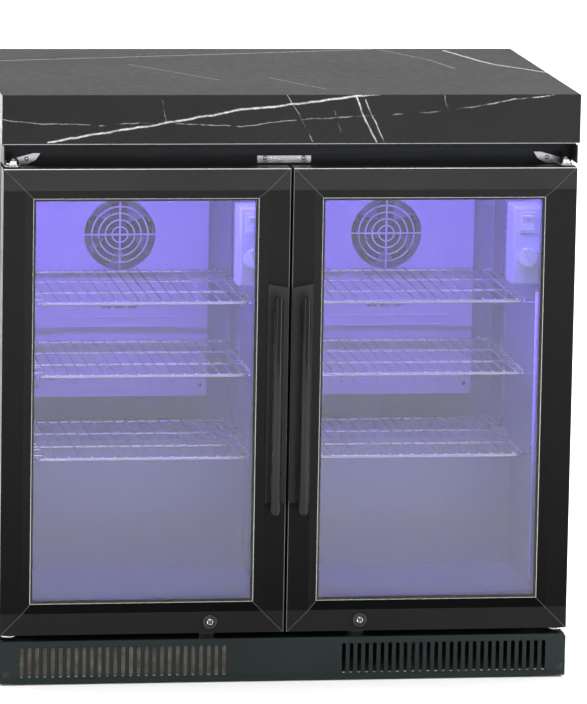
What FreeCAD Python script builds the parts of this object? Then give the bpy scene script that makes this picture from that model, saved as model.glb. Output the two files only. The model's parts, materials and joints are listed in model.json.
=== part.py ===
import FreeCAD, Part
import math
import os

# Two-door undercounter refrigerator with a marble-look worktop, as a service counter carries it.
# Frame: X to the right, Y to the back, Z up, millimetres. The origin is on the floor, under the
# middle of the whole object.

# ---- Driving dimensions -------------------------------------------------------------------------

CAB_W = 900.0            # cabinet width, and the width over both doors
CAB_TOP = 850.0          # top of the cabinet
DOOR_FACE = -283.0       # front face of the doors, the kickplate and the worktop's front apron
CAB_FRONT = DOOR_FACE + 50.0
CAB_REAR = DOOR_FACE + 520.0
BASE_Z = 12.0            # underside of the base pan
SHEET = 1.5              # every folded sheet
WALL = 40.0              # insulated wall: sheet, foam and liner

WORKTOP_W = 906.0
WORKTOP_TOP = 930.0
WORKTOP_BOTTOM = 853.0
WORKTOP_REAR = 317.0
STONE = 12.0             # worktop board thickness
RAIL = 25.0              # sub-frame tube width
RAIL_WALL = 2.0

ROOM_W = 383.0           # clear width of one compartment
ROOM_PITCH = 437.0       # from the left compartment to the right one
ROOM_LEFT = -410.0       # left wall of the left compartment
ROOM_FLOOR = 125.0
ROOM_TOP = 790.0
ROOM_BACK = CAB_REAR - WALL
STEP_FRONT = 10.0        # front face of the step over the compressor
STEP_TOP = 335.0
FLOOR_SKIN = 73.5        # underside of the insulated floor

DOOR_BOTTOM = 80.0
DOOR_TOP = 815.0
DOOR_GAP = 5.0           # between the two doors
DOOR_DEPTH = 40.0
FRAME_FLAT = 34.0        # flat part of the door profile
FRAME_W = 47.0           # whole profile, with its bevel
FRAME_BEVEL = 8.0        # how far the bevel falls back
FRAME_WALL = 3.0
POCKET_U = 37.0          # bottom of the glass pocket, from the door's edge
POCKET_FRONT = 10.0
POCKET_BACK = 32.0
GLASS = 4.0
GLASS_PLAY = 0.5
GLASS_EDGE = 38.5        # glass edge, from the door's edge
SPACER_W = 13.5

GASKET_W = 16.0
GASKET_DEPTH = 9.7
GASKET_X = (8.0, 430.0)  # inner and outer edge, from the middle of the cabinet
GASKET_Z = (105.0, 811.0)

PIVOT_X = 434.0
PIVOT_Y = DOOR_FACE + 20.0
PIN_R = 4.0
BORE_PLAY = 0.05
BRACKET = 3.0            # hinge plate thickness

HANDLE_X = 22.0
HANDLE_W = 16.5
HANDLE_Z = (273.0, 617.0)
HANDLE_REACH = 34.0      # from the door face to the front of the bar
HANDLE_DEEP = 12.0
HANDLE_POSTS = (330.0, 585.0)
POST_R = 6.5
POST_SINK = 1.0          # how far a post goes into the bar
PLATE_X = (3.5, 35.5)
PLATE_Z = (287.0, 628.0, 634.0)
PLATE_T = 3.0

LOCK_X = 119.0
LOCK_Z = 98.0
BEZEL_R = 11.75
BARREL_R = 9.0
PLUG_R = 6.0

KICK_Z = (3.0, 70.0)
SLOT_COUNT = 27
SLOT_FIRST = 92.0
SLOT_PITCH = 12.3
SLOT_W = 6.0
SLOT_Z = (12.0, 60.0)

SHELF_Z = (344.5, 476.5, 592.0)
SHELF_GAP = 16.5         # from the compartment's wall to the shelf's rim
SHELF_Y = (-208.0, 118.0)
RIM_R = 2.75
BAR_R = 1.5
BAR_COUNT = 18
STAY_R = 2.25
STAY_SHARES = (0.33, 0.67)           # of the way from the front rim to the rear one
RUNG_R = 1.5             # short rungs between each end of the rim and the first bar
RUNG_Z = 2.4
RUNG_PITCH = 50.0
RUNG_COUNT = 6

PILASTER_Y = (-182.0, 84.0)
PILASTER_W = 14.0
PILASTER_T = 2.5

LAMP_Y = (-229.0, -213.0)
LAMP_T = 9.0             # how far each lamp bar stands out of its wall

BOX_W = 42.0             # control box
BOX_Z = (616.0, 740.0)
BOX_Y = (DOOR_FACE + 90.0, DOOR_FACE + 150.0)
BOX_WALL = 2.0
BOX_MIDDLE = 22.0        # from the box's left side to its switch and knob
SWITCH_Z = 715.0
SWITCH_HALF = (9.8, 13.9)
SWITCH_R = 13.4
SWITCH_TILT = 7.0
ROCKER_SINK = 3.5        # the rocker's pivot behind the box's face
KNOB_Z = 660.0
KNOB_R = 15.25
KNOB_TILT = 20.0         # the grip's lean to the left at rest
SHAFT_R = 3.0            # knob and evaporator fan shafts

COVER_W = 290.0          # evaporator cover
COVER_Z = (384.0, 778.0)
COVER_FRONT = 130.0
PANEL_HALF = 105.0       # raised panel on the cover
PANEL_Z = (395.0, 500.0)
FAN_Z = 650.0            # evaporator fan
FAN_R = 52.0
COIL_Y = (150.0, 188.0)
COIL_Z = (400.0, 575.0)
COIL_ROWS = (420.0, 465.0, 510.0, 555.0)

FOOT_X = 415.0
FOOT_Y = (-205.0, 205.0)
FOOT_R = 18.0
STEM_R = 5.0

FLANGE_X = (388.0, 446.0)            # hinge flange on the cabinet's front
TOP_FLANGE_Z = (813.0, 834.0)
LOW_FLANGE_Z = (73.5, 100.0)
CHEEK_Z = 821.0          # lower edge of the side sheets' cheeks, over the doors
TOP_EAR_Z = DOOR_TOP + 1.0
LOW_EAR_Z = DOOR_BOTTOM - 5.0
EAR_HALF = 12.0
STRAP_X = (-49.0, 36.0)              # bracket in the middle of the fascia
STRAP_Z = (816.5, 829.0)
STRAP_T = 2.0

SCREW_R = 2.0
HEAD_R = 5.5
SMALL_HEAD_R = 3.5
HEAD_T = 2.5
KICK_SCREW = (440.0, 18.0)
KICK_CHAMFER = 4.0       # its top corners
FASCIA_Z = (817.0, 841.0)

INLET_X = 370.0          # mains inlet gland, in the rear panel
INLET_Z = 70.0
INLET_R = 10.0
GLAND_BORE_R = 4.0

LOUVRE_W = 60.0          # slots in the rear panel
LOUVRE_H = 5.0
LOUVRE_FIRST = (-380.0, 60.0)
LOUVRE_PITCH = (80.0, 17.0)
LOUVRE_COUNT = (9, 12)

CONDENSER_X = (-420.0, -180.0)
CONDENSER_Y = (60.0, 105.0)
CONDENSER_Z = (25.0, 255.0)
COOLER_FAN = (-300.0, 140.0)         # condenser fan's axis
COOLER_FAN_R = 95.0
COMPRESSOR = (180.0, 150.0)
COMPRESSOR_R = 72.0
COMPRESSOR_H = 150.0
COMPRESSOR_LIFT = 13.0   # its plate above the base pan, on four posts
TUBE_R = 4.0
TUBE_BEND = 12.0
TUBE_ROWS = 6            # condenser tubes, one above another
TUBE_ROW_PITCH = 38.0
TUBE_ROW_Y = 12.0        # from the condenser's front to its first tubes
TUBE_ROW_Z = 20.0
FIN_T = 1.2
FIN_PITCH = 10.0
DRIER = (-120.0, 130.0)
DRIER_Z = (70.0, 165.0)
DRIER_R = 11.0
DISCHARGE = (COMPRESSOR[0] + 30.0, COMPRESSOR[1])
SUCTION = (COMPRESSOR[0] - 30.0, COMPRESSOR[1] + 25.0)
STUB_Z = 195.0

PAN_X = (-70.0, 60.0)    # drain pan
PAN_Y = (80.0, 220.0)
PAN_H = 22.0
PAN_WALL = 2.0
CASE_X = (335.0, 400.0)  # electrical box
CASE_Y = (150.0, 228.0)
CASE_H = 110.0

THROUGH = 5.0            # how far a cutting tool passes a surface
HALF = CAB_W / 2.0
IN = HALF - SHEET        # inside of the side sheets
FOAM_X = HALF - WALL + SHEET
MULLION = ROOM_LEFT + ROOM_PITCH     # half the width of the middle wall
MACHINE_FRONT = STEP_FRONT + WALL    # machine space: behind and under the step
MACHINE_TOP = STEP_TOP - WALL
PAN_TOP = BASE_Z + SHEET


# ---- Shape helpers ------------------------------------------------------------------------------

def vec(x, y, z):
    return FreeCAD.Vector(x, y, z)


def box(x0, x1, y0, y1, z0, z1):
    return Part.makeBox(x1 - x0, y1 - y0, z1 - z0, vec(x0, y0, z0))


def rod_x(x0, x1, y, z, radius):
    return Part.makeCylinder(radius, x1 - x0, vec(x0, y, z), vec(1, 0, 0))


def rod_y(x, y0, y1, z, radius):
    return Part.makeCylinder(radius, y1 - y0, vec(x, y0, z), vec(0, 1, 0))


def rod_z(x, y, z0, z1, radius):
    return Part.makeCylinder(radius, z1 - z0, vec(x, y, z0), vec(0, 0, 1))


def prism(points, direction):
    outline = Part.makePolygon(points + points[:1])
    return Part.Face(outline).extrude(direction)


def prism_y(points, y0, y1):
    return prism([vec(x, y0, z) for x, z in points], vec(0, y1 - y0, 0))


def prism_x(points, x0, x1):
    return prism([vec(x0, y, z) for y, z in points], vec(x1 - x0, 0, 0))


def slot_y(x, y0, y1, z0, z1, radius):
    """A round-ended upright slot, cut through along Y."""
    middle = box(x - radius, x + radius, y0, y1, z0 + radius, z1 - radius)
    low = rod_y(x, y0, y1, z0 + radius, radius)
    high = rod_y(x, y0, y1, z1 - radius, radius)
    return middle.fuse([low, high])


def joined(solids):
    return solids[0].multiFuse(solids[1:]).removeSplitter()


def shifted(shape, x=0.0, y=0.0, z=0.0):
    moved = shape.copy()
    moved.translate(vec(x, y, z))
    return moved


def mirrored(shape):
    return shape.mirror(vec(0, 0, 0), vec(1, 0, 0))


def save(name, *solids):
    Part.makeCompound(list(solids)).exportStep("parts/%s.step" % name)


def mitred_bar(section, length, place):
    """A bar with the section [(u, v)], cut at 45 degrees at both ends."""
    near = [place(u, u, v) for u, v in section]
    far = [place(length - u, u, v) for u, v in section]
    faces = [Part.Face(Part.makePolygon(end + end[:1])) for end in (near, far)]
    for i in range(len(section)):
        j = (i + 1) % len(section)
        faces.append(Part.Face(Part.makePolygon([near[i], near[j], far[j], far[i], near[i]])))
    shell = Part.makeShell(faces)
    shell.sewShape()
    solid = Part.makeSolid(shell)
    if solid.Volume < 0:
        solid.reverse()
    return solid


def mitred_ring(section, p0, p1, q0, q1, point):
    """Four mitred bars round a rectangle; u runs inwards from its edge, v is the depth."""
    return [
        mitred_bar(section, p1 - p0, lambda a, u, v: point(p0 + a, q0 + u, v)),
        mitred_bar(section, q1 - q0, lambda a, u, v: point(p0 + u, q0 + a, v)),
        mitred_bar(section, p1 - p0, lambda a, u, v: point(p0 + a, q1 - u, v)),
        mitred_bar(section, q1 - q0, lambda a, u, v: point(p1 - u, q0 + a, v)),
    ]


def block(u0, u1, v0, v1):
    return [(u0, v0), (u1, v0), (u1, v1), (u0, v1)]


def bent_tube(points, radius, bend):
    """A tube along straight runs that are joined by tangent arcs."""
    edges = []
    start = points[0]
    for before, corner, after in zip(points, points[1:], points[2:]):
        back = (before - corner).normalize()
        ahead = (after - corner).normalize()
        half_angle = back.getAngle(ahead) / 2.0
        setback = bend / math.tan(half_angle)
        towards = (back + ahead).normalize()
        middle = corner + towards * (bend / math.sin(half_angle) - bend)
        first = corner + back * setback
        last = corner + ahead * setback
        edges.append(Part.LineSegment(start, first).toShape())
        edges.append(Part.Arc(first, middle, last).toShape())
        start = last
    edges.append(Part.LineSegment(start, points[-1]).toShape())
    path = Part.Wire(edges)
    ring = Part.Wire(Part.makeCircle(radius, points[0], points[1] - points[0]))
    return path.makePipeShell([ring], True, True)


def fan_wheel(x, y, z, radius, hub_r, depth, blades):
    """Hub with pitched blades, turning about Y."""
    pitch = 32.0
    overlap = 3.0
    chord = 2.0 * math.pi * radius / blades * 0.5
    hub = rod_y(x, y, y + depth, z, hub_r)
    solids = [hub]
    for i in range(blades):
        blade = box(-chord / 2.0, chord / 2.0, -0.9, 0.9, hub_r - overlap, radius)
        blade.rotate(vec(0, 0, 0), vec(0, 0, 1), pitch)
        blade.rotate(vec(0, 0, 0), vec(0, 1, 0), 360.0 * i / blades)
        blade.translate(vec(x, y + depth / 2.0, z))
        solids.append(blade)
    limit = rod_y(x, y - depth, y + 2.0 * depth, z, radius)
    return joined(solids).common(limit)


def screw_places():
    """(x, y under the head, z, shank length, head radius) of every face-mounted screw."""
    flange_face = CAB_FRONT - BRACKET
    through_flange = BRACKET + SHEET
    through_strap = STRAP_T + SHEET
    places = []
    for side in (-1.0, 1.0):
        hinge_x = side * (FLANGE_X[0] + 22.0)
        places.append((hinge_x, flange_face, TOP_FLANGE_Z[1] - 9.0, through_flange, SMALL_HEAD_R))
        places.append((hinge_x, flange_face, LOW_FLANGE_Z[1] - 10.0, through_flange, HEAD_R))
        places.append((side * KICK_SCREW[0], DOOR_FACE, KICK_SCREW[1], 10.0, HEAD_R))
    for x in (STRAP_X[0] + 12.0, STRAP_X[1] - 12.0):
        places.append((x, CAB_FRONT - STRAP_T, STRAP_Z[1] - 4.0, through_strap, SMALL_HEAD_R))
    return places


def screw(x, y, z, length, head_r):
    head = rod_y(x, y - HEAD_T, y, z, head_r)
    return joined([head, rod_y(x, y, y + length, z, SCREW_R)])


def drilled(shape):
    """The shape with a hole for each screw that passes through it."""
    return shape.cut(Part.makeCompound([screw(*place) for place in screw_places()]))


# ---- Worktop ------------------------------------------------------------------------------------

def make_worktop():
    x = WORKTOP_W / 2.0

    def point(p, q, v):
        return vec(p, q, WORKTOP_TOP - v)

    def outline(inset, z):
        corners = [
            vec(-x + inset, DOOR_FACE + inset, z),
            vec(x - inset, DOOR_FACE + inset, z),
            vec(x - inset, WORKTOP_REAR - inset, z),
            vec(-x + inset, WORKTOP_REAR - inset, z),
        ]
        return Part.makePolygon(corners + corners[:1])

    height = WORKTOP_TOP - WORKTOP_BOTTOM
    section = [(0, 0), (STONE, STONE), (STONE, height), (0, height)]
    slab = Part.makeLoft([outline(STONE, WORKTOP_TOP - STONE), outline(0, WORKTOP_TOP)], True, True)
    save("worktop_slab", slab)
    save("worktop_aprons", *mitred_ring(section, -x, x, DOOR_FACE, WORKTOP_REAR, point))


def make_subframe():
    """Square tubes under the worktop, their ends closed."""
    z0, z1 = CAB_TOP, WORKTOP_TOP - STONE
    y0, y1 = CAB_FRONT + RAIL_WALL, CAB_REAR - RAIL_WALL
    side = HALF - 2.0 * RAIL
    tubes = [(-side, side, y, y + RAIL) for y in (y0, y1 - RAIL)]
    tubes += [(x, x + RAIL, y0, y1) for x in (-side - RAIL, side)]
    tubes.append((-RAIL / 2.0, RAIL / 2.0, y0 + RAIL, y1 - RAIL))
    rails = []
    for xa, xb, ya, yb in tubes:
        hollow = box(xa + RAIL_WALL, xb - RAIL_WALL, ya + RAIL_WALL, yb - RAIL_WALL,
                     z0 + RAIL_WALL, z1 - RAIL_WALL)
        rails.append(box(xa, xb, ya, yb, z0, z1).cut(hollow))
    save("worktop_subframe", *rails)


# ---- Cabinet shell ------------------------------------------------------------------------------

def make_casing():
    """Outer sheets: sides, cheeks beside the hinges, top, floor and walls of the machine space."""
    sides = [box(x, x + SHEET, CAB_FRONT, CAB_REAR, BASE_Z, CAB_TOP) for x in (-HALF, IN)]
    cheeks = [box(x, x + SHEET, DOOR_FACE, CAB_FRONT, CHEEK_Z, CAB_TOP) for x in (-HALF, IN)]
    top = box(-IN, IN, CAB_FRONT, CAB_REAR, CAB_TOP - SHEET, CAB_TOP)
    front = CAB_FRONT + SHEET
    rear = CAB_REAR - SHEET
    floor = box(-IN, IN, front, MACHINE_FRONT - SHEET, FLOOR_SKIN, FLOOR_SKIN + SHEET)
    wall = box(-IN, IN, MACHINE_FRONT - SHEET, MACHINE_FRONT, FLOOR_SKIN, MACHINE_TOP)
    lid = box(-IN, IN, MACHINE_FRONT - SHEET, rear, MACHINE_TOP, MACHINE_TOP + SHEET)
    save("outer_casing", *sides, *cheeks, top, floor, wall, lid)


def make_rear_panel():
    """Back sheet with louvre slots over the machine space and a hole for the mains inlet."""
    panel = box(-IN, IN, CAB_REAR - SHEET, CAB_REAR, PAN_TOP, CAB_TOP - SHEET)
    y0, y1 = CAB_REAR - THROUGH, CAB_REAR + THROUGH
    cuts = [rod_y(INLET_X, y0, y1, INLET_Z, INLET_R)]
    for column in range(LOUVRE_COUNT[0]):
        x = LOUVRE_FIRST[0] + column * LOUVRE_PITCH[0]
        for row in range(LOUVRE_COUNT[1]):
            z = LOUVRE_FIRST[1] + row * LOUVRE_PITCH[1]
            cuts.append(box(x, x + LOUVRE_W, y0, y1, z, z + LOUVRE_H))
    save("rear_panel", panel.cut(Part.makeCompound(cuts)))


def make_insulation():
    front = CAB_FRONT + SHEET
    rear = CAB_REAR - SHEET
    floor_bottom = FLOOR_SKIN + SHEET
    floor_top = ROOM_FLOOR - SHEET
    step_low = MACHINE_TOP + SHEET
    step_high = STEP_TOP - SHEET
    riser_front = STEP_FRONT + SHEET
    riser_rear = MACHINE_FRONT - SHEET
    ceiling = ROOM_TOP + SHEET
    core = MULLION - SHEET
    foam = [
        box(-FOAM_X, FOAM_X, front, riser_rear, floor_bottom, floor_top),
        box(-FOAM_X, FOAM_X, riser_front, riser_rear, floor_top, step_low),
        box(-FOAM_X, FOAM_X, riser_front, rear, step_low, step_high),
        box(-FOAM_X, FOAM_X, ROOM_BACK + SHEET, rear, step_high, ceiling),
        box(-FOAM_X, FOAM_X, front, rear, ceiling, CAB_TOP - SHEET),
        box(-core, core, front, riser_front, floor_top, step_high),
        box(-core, core, front, ROOM_BACK + SHEET, step_high, ceiling),
    ]
    for x0, x1 in ((-IN, -FOAM_X), (FOAM_X, IN)):
        foam.append(box(x0, x1, front, riser_rear, floor_bottom, step_low))
        foam.append(box(x0, x1, front, rear, step_low, CAB_TOP - SHEET))
    save("foam_insulation", *foam)


def room_liner(x0):
    """The sheets that line one compartment, from its left wall at x0."""
    x1 = x0 + ROOM_W
    front = CAB_FRONT + SHEET
    low = ROOM_FLOOR - SHEET
    tread = STEP_TOP - SHEET
    riser = STEP_FRONT + SHEET
    rear = ROOM_BACK + SHEET
    lid = ROOM_TOP + SHEET
    sheets = [
        box(x0, x1, front, STEP_FRONT, low, ROOM_FLOOR),
        box(x0, x1, STEP_FRONT, riser, low, tread),
        box(x0, x1, STEP_FRONT, ROOM_BACK, tread, STEP_TOP),
        box(x0, x1, ROOM_BACK, rear, tread, ROOM_TOP),
        box(x0, x1, front, rear, ROOM_TOP, lid),
    ]
    for wall_x in (x0 - SHEET, x1):
        sheets.append(box(wall_x, wall_x + SHEET, front, riser, low, tread))
        sheets.append(box(wall_x, wall_x + SHEET, front, rear, tread, lid))
    return sheets


def make_front():
    """Front frame that the gaskets close on, and the fascia above the doors."""
    y0, y1 = CAB_FRONT, CAB_FRONT + SHEET
    room = HALF - WALL
    bars = [
        box(-IN, IN, y0, y1, FLOOR_SKIN, ROOM_FLOOR),
        box(-IN, IN, y0, y1, ROOM_TOP, FASCIA_Z[0]),
        box(-IN, IN, y0, y1, FASCIA_Z[1], CAB_TOP - SHEET),
        box(-IN, -room, y0, y1, ROOM_FLOOR, ROOM_TOP),
        box(room, IN, y0, y1, ROOM_FLOOR, ROOM_TOP),
        box(-MULLION, MULLION, y0, y1, ROOM_FLOOR, ROOM_TOP),
    ]
    save("front_frame", *[drilled(bar) for bar in bars])
    save("fascia", drilled(box(-IN, IN, y0, y1, *FASCIA_Z)))


# ---- Base: pan, kickplate, filter, feet ---------------------------------------------------------

def make_base_pan():
    front = DOOR_FACE + SHEET
    pan = box(-IN, IN, front, CAB_REAR - SHEET, BASE_Z, PAN_TOP)
    for x in (-FOOT_X, FOOT_X):
        for y in FOOT_Y:
            pan = pan.cut(rod_z(x, y, BASE_Z - THROUGH, BASE_Z + THROUGH, STEM_R + BORE_PLAY))
    save("base_pan", pan)


def make_kickplate():
    """Slotted front plate, its folded ends and top shelf, and the dust mesh behind its left slots."""
    front = DOOR_FACE + SHEET
    low, high = KICK_Z
    shoulder = high - KICK_CHAMFER
    outline = [(-HALF, low), (HALF, low), (HALF, shoulder), (HALF - KICK_CHAMFER, high),
               (KICK_CHAMFER - HALF, high), (-HALF, shoulder)]
    plate = prism_y(outline, DOOR_FACE, front)
    cuts = []
    for side in (-1.0, 1.0):
        for i in range(SLOT_COUNT):
            x = side * (SLOT_FIRST + SLOT_W / 2.0 + i * SLOT_PITCH)
            cuts.append(slot_y(x, DOOR_FACE - THROUGH, front + THROUGH, *SLOT_Z, SLOT_W / 2.0))
    plate = drilled(plate.cut(Part.makeCompound(cuts)))
    ends = [box(x, x + SHEET, front, CAB_FRONT, low + KICK_CHAMFER, shoulder) for x in (-HALF, IN)]
    shelf = box(-IN, IN, front, CAB_FRONT + SHEET, high - SHEET, high)
    save("kickplate", plate, *ends, shelf)

    gap = 2.0
    mesh_t = 2.0
    mesh_end = SLOT_FIRST + SLOT_COUNT * SLOT_PITCH
    mesh_z = (PAN_TOP + 0.5, high - SHEET - gap)
    save("filter_mesh", box(-mesh_end, gap - SLOT_FIRST, front + gap, front + gap + mesh_t, *mesh_z))


def make_feet():
    """Levelling feet: a tapered sole with a threaded stem."""
    sole_t = 8.0
    taper = 4.0
    stem_z = (4.0, 34.0)
    names = ("front_left", "front_right", "rear_left", "rear_right")
    places = [(x, y) for y in FOOT_Y for x in (-FOOT_X, FOOT_X)]
    for name, (x, y) in zip(names, places):
        sole = Part.makeCone(FOOT_R, FOOT_R - taper, sole_t, vec(x, y, 0))
        save("foot_" + name, joined([sole, rod_z(x, y, *stem_z, STEM_R)]))


# ---- Hinges, centre bracket, lock keepers, screws ------------------------------------------------

def hinge_bracket(ear_z, outline):
    """Right-hand bracket: flange on the cabinet's front and an ear out to the pivot."""
    flange = prism_y(outline, CAB_FRONT - BRACKET, CAB_FRONT)
    ear_end = rod_z(PIVOT_X, PIVOT_Y, ear_z, ear_z + BRACKET, EAR_HALF)
    ear = box(PIVOT_X - EAR_HALF, PIVOT_X + EAR_HALF, PIVOT_Y, CAB_FRONT, ear_z, ear_z + BRACKET)
    bracket = joined([flange, ear, ear_end])
    return bracket.cut(rod_z(PIVOT_X, PIVOT_Y, ear_z - 1.0, ear_z + BRACKET + 1.0, PIN_R))


def make_hinges():
    """Four hinge brackets, the plates that the lock cams catch behind, and the middle strap."""
    keeper_half = 12.0
    keeper_y = DOOR_FACE + DOOR_DEPTH - 3.0
    keeper = box(LOCK_X - keeper_half, LOCK_X + keeper_half, keeper_y, keeper_y + SHEET,
                 KICK_Z[1], DOOR_BOTTOM - SHEET)
    x0, x1 = FLANGE_X
    low, high = TOP_FLANGE_Z
    top_outline = [(x0 + 7.0, high - 11.0), (x0 + 20.0, low + 3.0), (x1, low), (x1, low + 8.0),
                   (x0 + 12.0, high), (x0, high)]
    low, high = LOW_FLANGE_Z
    low_outline = [(x0, low), (x1, low), (x1, high), (x0 + 10.0, high)]
    brackets = [
        drilled(hinge_bracket(TOP_EAR_Z, top_outline)),
        drilled(hinge_bracket(LOW_EAR_Z, low_outline)),
        keeper,
    ]
    strap = drilled(box(*STRAP_X, CAB_FRONT - STRAP_T, CAB_FRONT, *STRAP_Z))
    save("hinge_brackets", *brackets, *[mirrored(b) for b in brackets], strap)
    save("screws", *[screw(*place) for place in screw_places()])


def make_hinge_pins():
    """Hex-headed bolt down through each top ear, plain pin up from each bottom ear."""
    across_flats = 17.0
    head_h = 11.0
    washer_t = 1.5
    washer_r = 10.0
    reach = 25.0
    crown_out = 1.2
    crown_in = 4.0
    corner_r = across_flats / 2.0 / math.cos(math.pi / 6.0)
    seat = TOP_EAR_Z + BRACKET
    top = seat + head_h
    hexagon = [
        vec(PIVOT_X + corner_r * math.cos(i * math.pi / 3.0),
            PIVOT_Y + corner_r * math.sin(i * math.pi / 3.0), seat + washer_t)
        for i in range(6)
    ]
    head = prism(hexagon, vec(0, 0, head_h - washer_t))
    crown = Part.makeCone(corner_r + crown_out, corner_r - crown_in, head_h,
                          vec(PIVOT_X, PIVOT_Y, seat + crown_out))
    shaft = rod_z(PIVOT_X, PIVOT_Y, seat, top - crown_in, 2.0 * corner_r)
    head = head.common(crown.fuse(shaft))
    washer = rod_z(PIVOT_X, PIVOT_Y, seat, seat + washer_t, washer_r)
    shank = rod_z(PIVOT_X, PIVOT_Y, DOOR_TOP - reach, seat + washer_t, PIN_R)
    bolt = joined([head, washer, shank])
    pin = rod_z(PIVOT_X, PIVOT_Y, LOW_EAR_Z, DOOR_BOTTOM + reach, PIN_R)
    save("hinge_pins", bolt, pin, mirrored(bolt), mirrored(pin))


# ---- Doors --------------------------------------------------------------------------------------

def door_point(p, q, v):
    return vec(p, DOOR_FACE + v, q)


def door_frame():
    """Four mitred hollow profiles and the corner keys inside them (right-hand door)."""
    x0, x1 = DOOR_GAP / 2.0, HALF
    z0, z1 = DOOR_BOTTOM, DOOR_TOP
    profile = [
        (0, 0), (FRAME_FLAT, 0), (FRAME_W, FRAME_BEVEL), (FRAME_W, POCKET_FRONT), (POCKET_U, POCKET_FRONT),
        (POCKET_U, POCKET_BACK), (FRAME_W, POCKET_BACK), (FRAME_W, DOOR_DEPTH), (0, DOOR_DEPTH),
    ]
    deep = DOOR_DEPTH - FRAME_WALL
    chamber = block(FRAME_WALL, FRAME_FLAT, FRAME_WALL, deep)
    outer = mitred_ring(profile, x0, x1, z0, z1, door_point)
    inner = mitred_ring(chamber, x0, x1, z0, z1, door_point)
    holes = [
        rod_z(PIVOT_X, PIVOT_Y, z0 - 1.0, z0 + FRAME_WALL + 1.0, PIN_R + 1.0),
        rod_z(PIVOT_X, PIVOT_Y, z1 - FRAME_WALL - 1.0, z1 + 1.0, PIN_R + 1.0),
        rod_y(LOCK_X, DOOR_FACE - 1.0, DOOR_FACE + DOOR_DEPTH + 1.0, LOCK_Z, BARREL_R),
    ]
    cuts = Part.makeCompound(holes)
    bars = [bar.cut(hollow).cut(cuts) for bar, hollow in zip(outer, inner)]

    return bars + corner_keys(x0, x1, z0, z1, deep)


def corner_keys(x0, x1, z0, z1, deep):
    """L-shaped blocks inside the four corners, bored for the hinge pins."""
    play = 0.2
    leg = 60.0
    near, far = FRAME_WALL + play, FRAME_FLAT - play
    end = near + leg
    y0, y1 = DOOR_FACE + near, DOOR_FACE + deep - play
    bores = Part.makeCompound([
        rod_z(PIVOT_X, PIVOT_Y, z0, z0 + leg, PIN_R + BORE_PLAY),
        rod_z(PIVOT_X, PIVOT_Y, z1 - leg, z1, PIN_R + BORE_PLAY),
    ])
    keys = []
    for x, inwards in ((x0, 1.0), (x1, -1.0)):
        for z, upwards in ((z0, 1.0), (z1, -1.0)):
            legs = []
            for reach_x, reach_z in ((end, far), (far, end)):
                xs = sorted((x + inwards * near, x + inwards * reach_x))
                zs = sorted((z + upwards * near, z + upwards * reach_z))
                legs.append(box(*xs, y0, y1, *zs))
            keys.append(joined(legs).cut(bores))
    return keys


def door_glass():
    inset = GLASS_EDGE
    front = DOOR_FACE + POCKET_FRONT + GLASS_PLAY
    back = DOOR_FACE + POCKET_BACK - GLASS_PLAY
    x0, x1 = DOOR_GAP / 2.0 + inset, HALF - inset
    z0, z1 = DOOR_BOTTOM + inset, DOOR_TOP - inset
    panes = [box(x0, x1, y, y + GLASS, z0, z1) for y in (front, back - GLASS)]
    section = block(0, SPACER_W, front + GLASS - DOOR_FACE, back - GLASS - DOOR_FACE)
    spacer = mitred_ring(section, x0, x1, z0, z1, door_point)
    return panes, spacer


def door_gasket():
    lip = 2.0
    base = 3.0
    back = DOOR_DEPTH
    foot = back + base
    crest = back + GASKET_DEPTH
    far = GASKET_W - lip
    section = [(0, back), (GASKET_W, back), (GASKET_W, foot), (far, foot),
               (far, crest), (lip, crest), (lip, foot), (0, foot)]
    return mitred_ring(section, *GASKET_X, *GASKET_Z, door_point)


def door_handle():
    """Round-fronted bar with round ends on two posts, and the backing plate under it."""
    x0, x1 = PLATE_X
    low, shoulder, peak = PLATE_Z
    face = DOOR_FACE - PLATE_T
    plate = prism_y([(x0, low), (x1, low), (x1, peak), (x0, shoulder)], face, DOOR_FACE)
    front = DOOR_FACE - HANDLE_REACH
    back = front + HANDLE_DEEP
    radius = HANDLE_W / 2.0
    low_end, high_end = HANDLE_Z
    round_front = rod_z(HANDLE_X, front + radius, low_end, high_end, radius)
    flat_back = box(HANDLE_X - radius, HANDLE_X + radius, front + radius, back, low_end, high_end)
    bar = joined([round_front, flat_back]).common(slot_y(HANDLE_X, front, back, low_end, high_end, radius))
    posts = [rod_y(HANDLE_X, back - POST_SINK, face, z, POST_R) for z in HANDLE_POSTS]
    return [joined([bar] + posts), plate]


def door_lock():
    """Fixed barrel with its bezel, and the turning plug with the cam behind the door."""
    door_back = DOOR_FACE + DOOR_DEPTH
    proud = 2.0
    plug_proud = 2.6
    bezel = rod_y(LOCK_X, DOOR_FACE - proud, DOOR_FACE, LOCK_Z, BEZEL_R)
    rim = [e for e in bezel.Edges if e.BoundBox.YMax < DOOR_FACE - proud / 2.0]
    bezel = bezel.makeFillet(1.0, rim)
    barrel = rod_y(LOCK_X, DOOR_FACE, door_back - 0.5, LOCK_Z, BARREL_R)
    bore = rod_y(LOCK_X, DOOR_FACE - THROUGH, door_back + THROUGH, LOCK_Z, PLUG_R + BORE_PLAY)
    body = joined([bezel, barrel]).cut(bore)

    cam_gap = 0.3
    cam_t = 2.0
    cam_half = 4.5
    cam_reach = 24.0
    cam_y = door_back + cam_gap
    key_half = (0.9, 4.0)
    plug = rod_y(LOCK_X, DOOR_FACE - plug_proud, cam_y + cam_t, LOCK_Z, PLUG_R)
    keyhole = box(LOCK_X - key_half[0], LOCK_X + key_half[0], DOOR_FACE - THROUGH, DOOR_FACE + 4.0,
                  LOCK_Z - key_half[1], LOCK_Z + key_half[1])
    cam = box(LOCK_X - cam_reach, LOCK_X, cam_y, cam_y + cam_t, LOCK_Z - cam_half, LOCK_Z + cam_half)
    return body, joined([plug, cam]).cut(keyhole)


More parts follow.
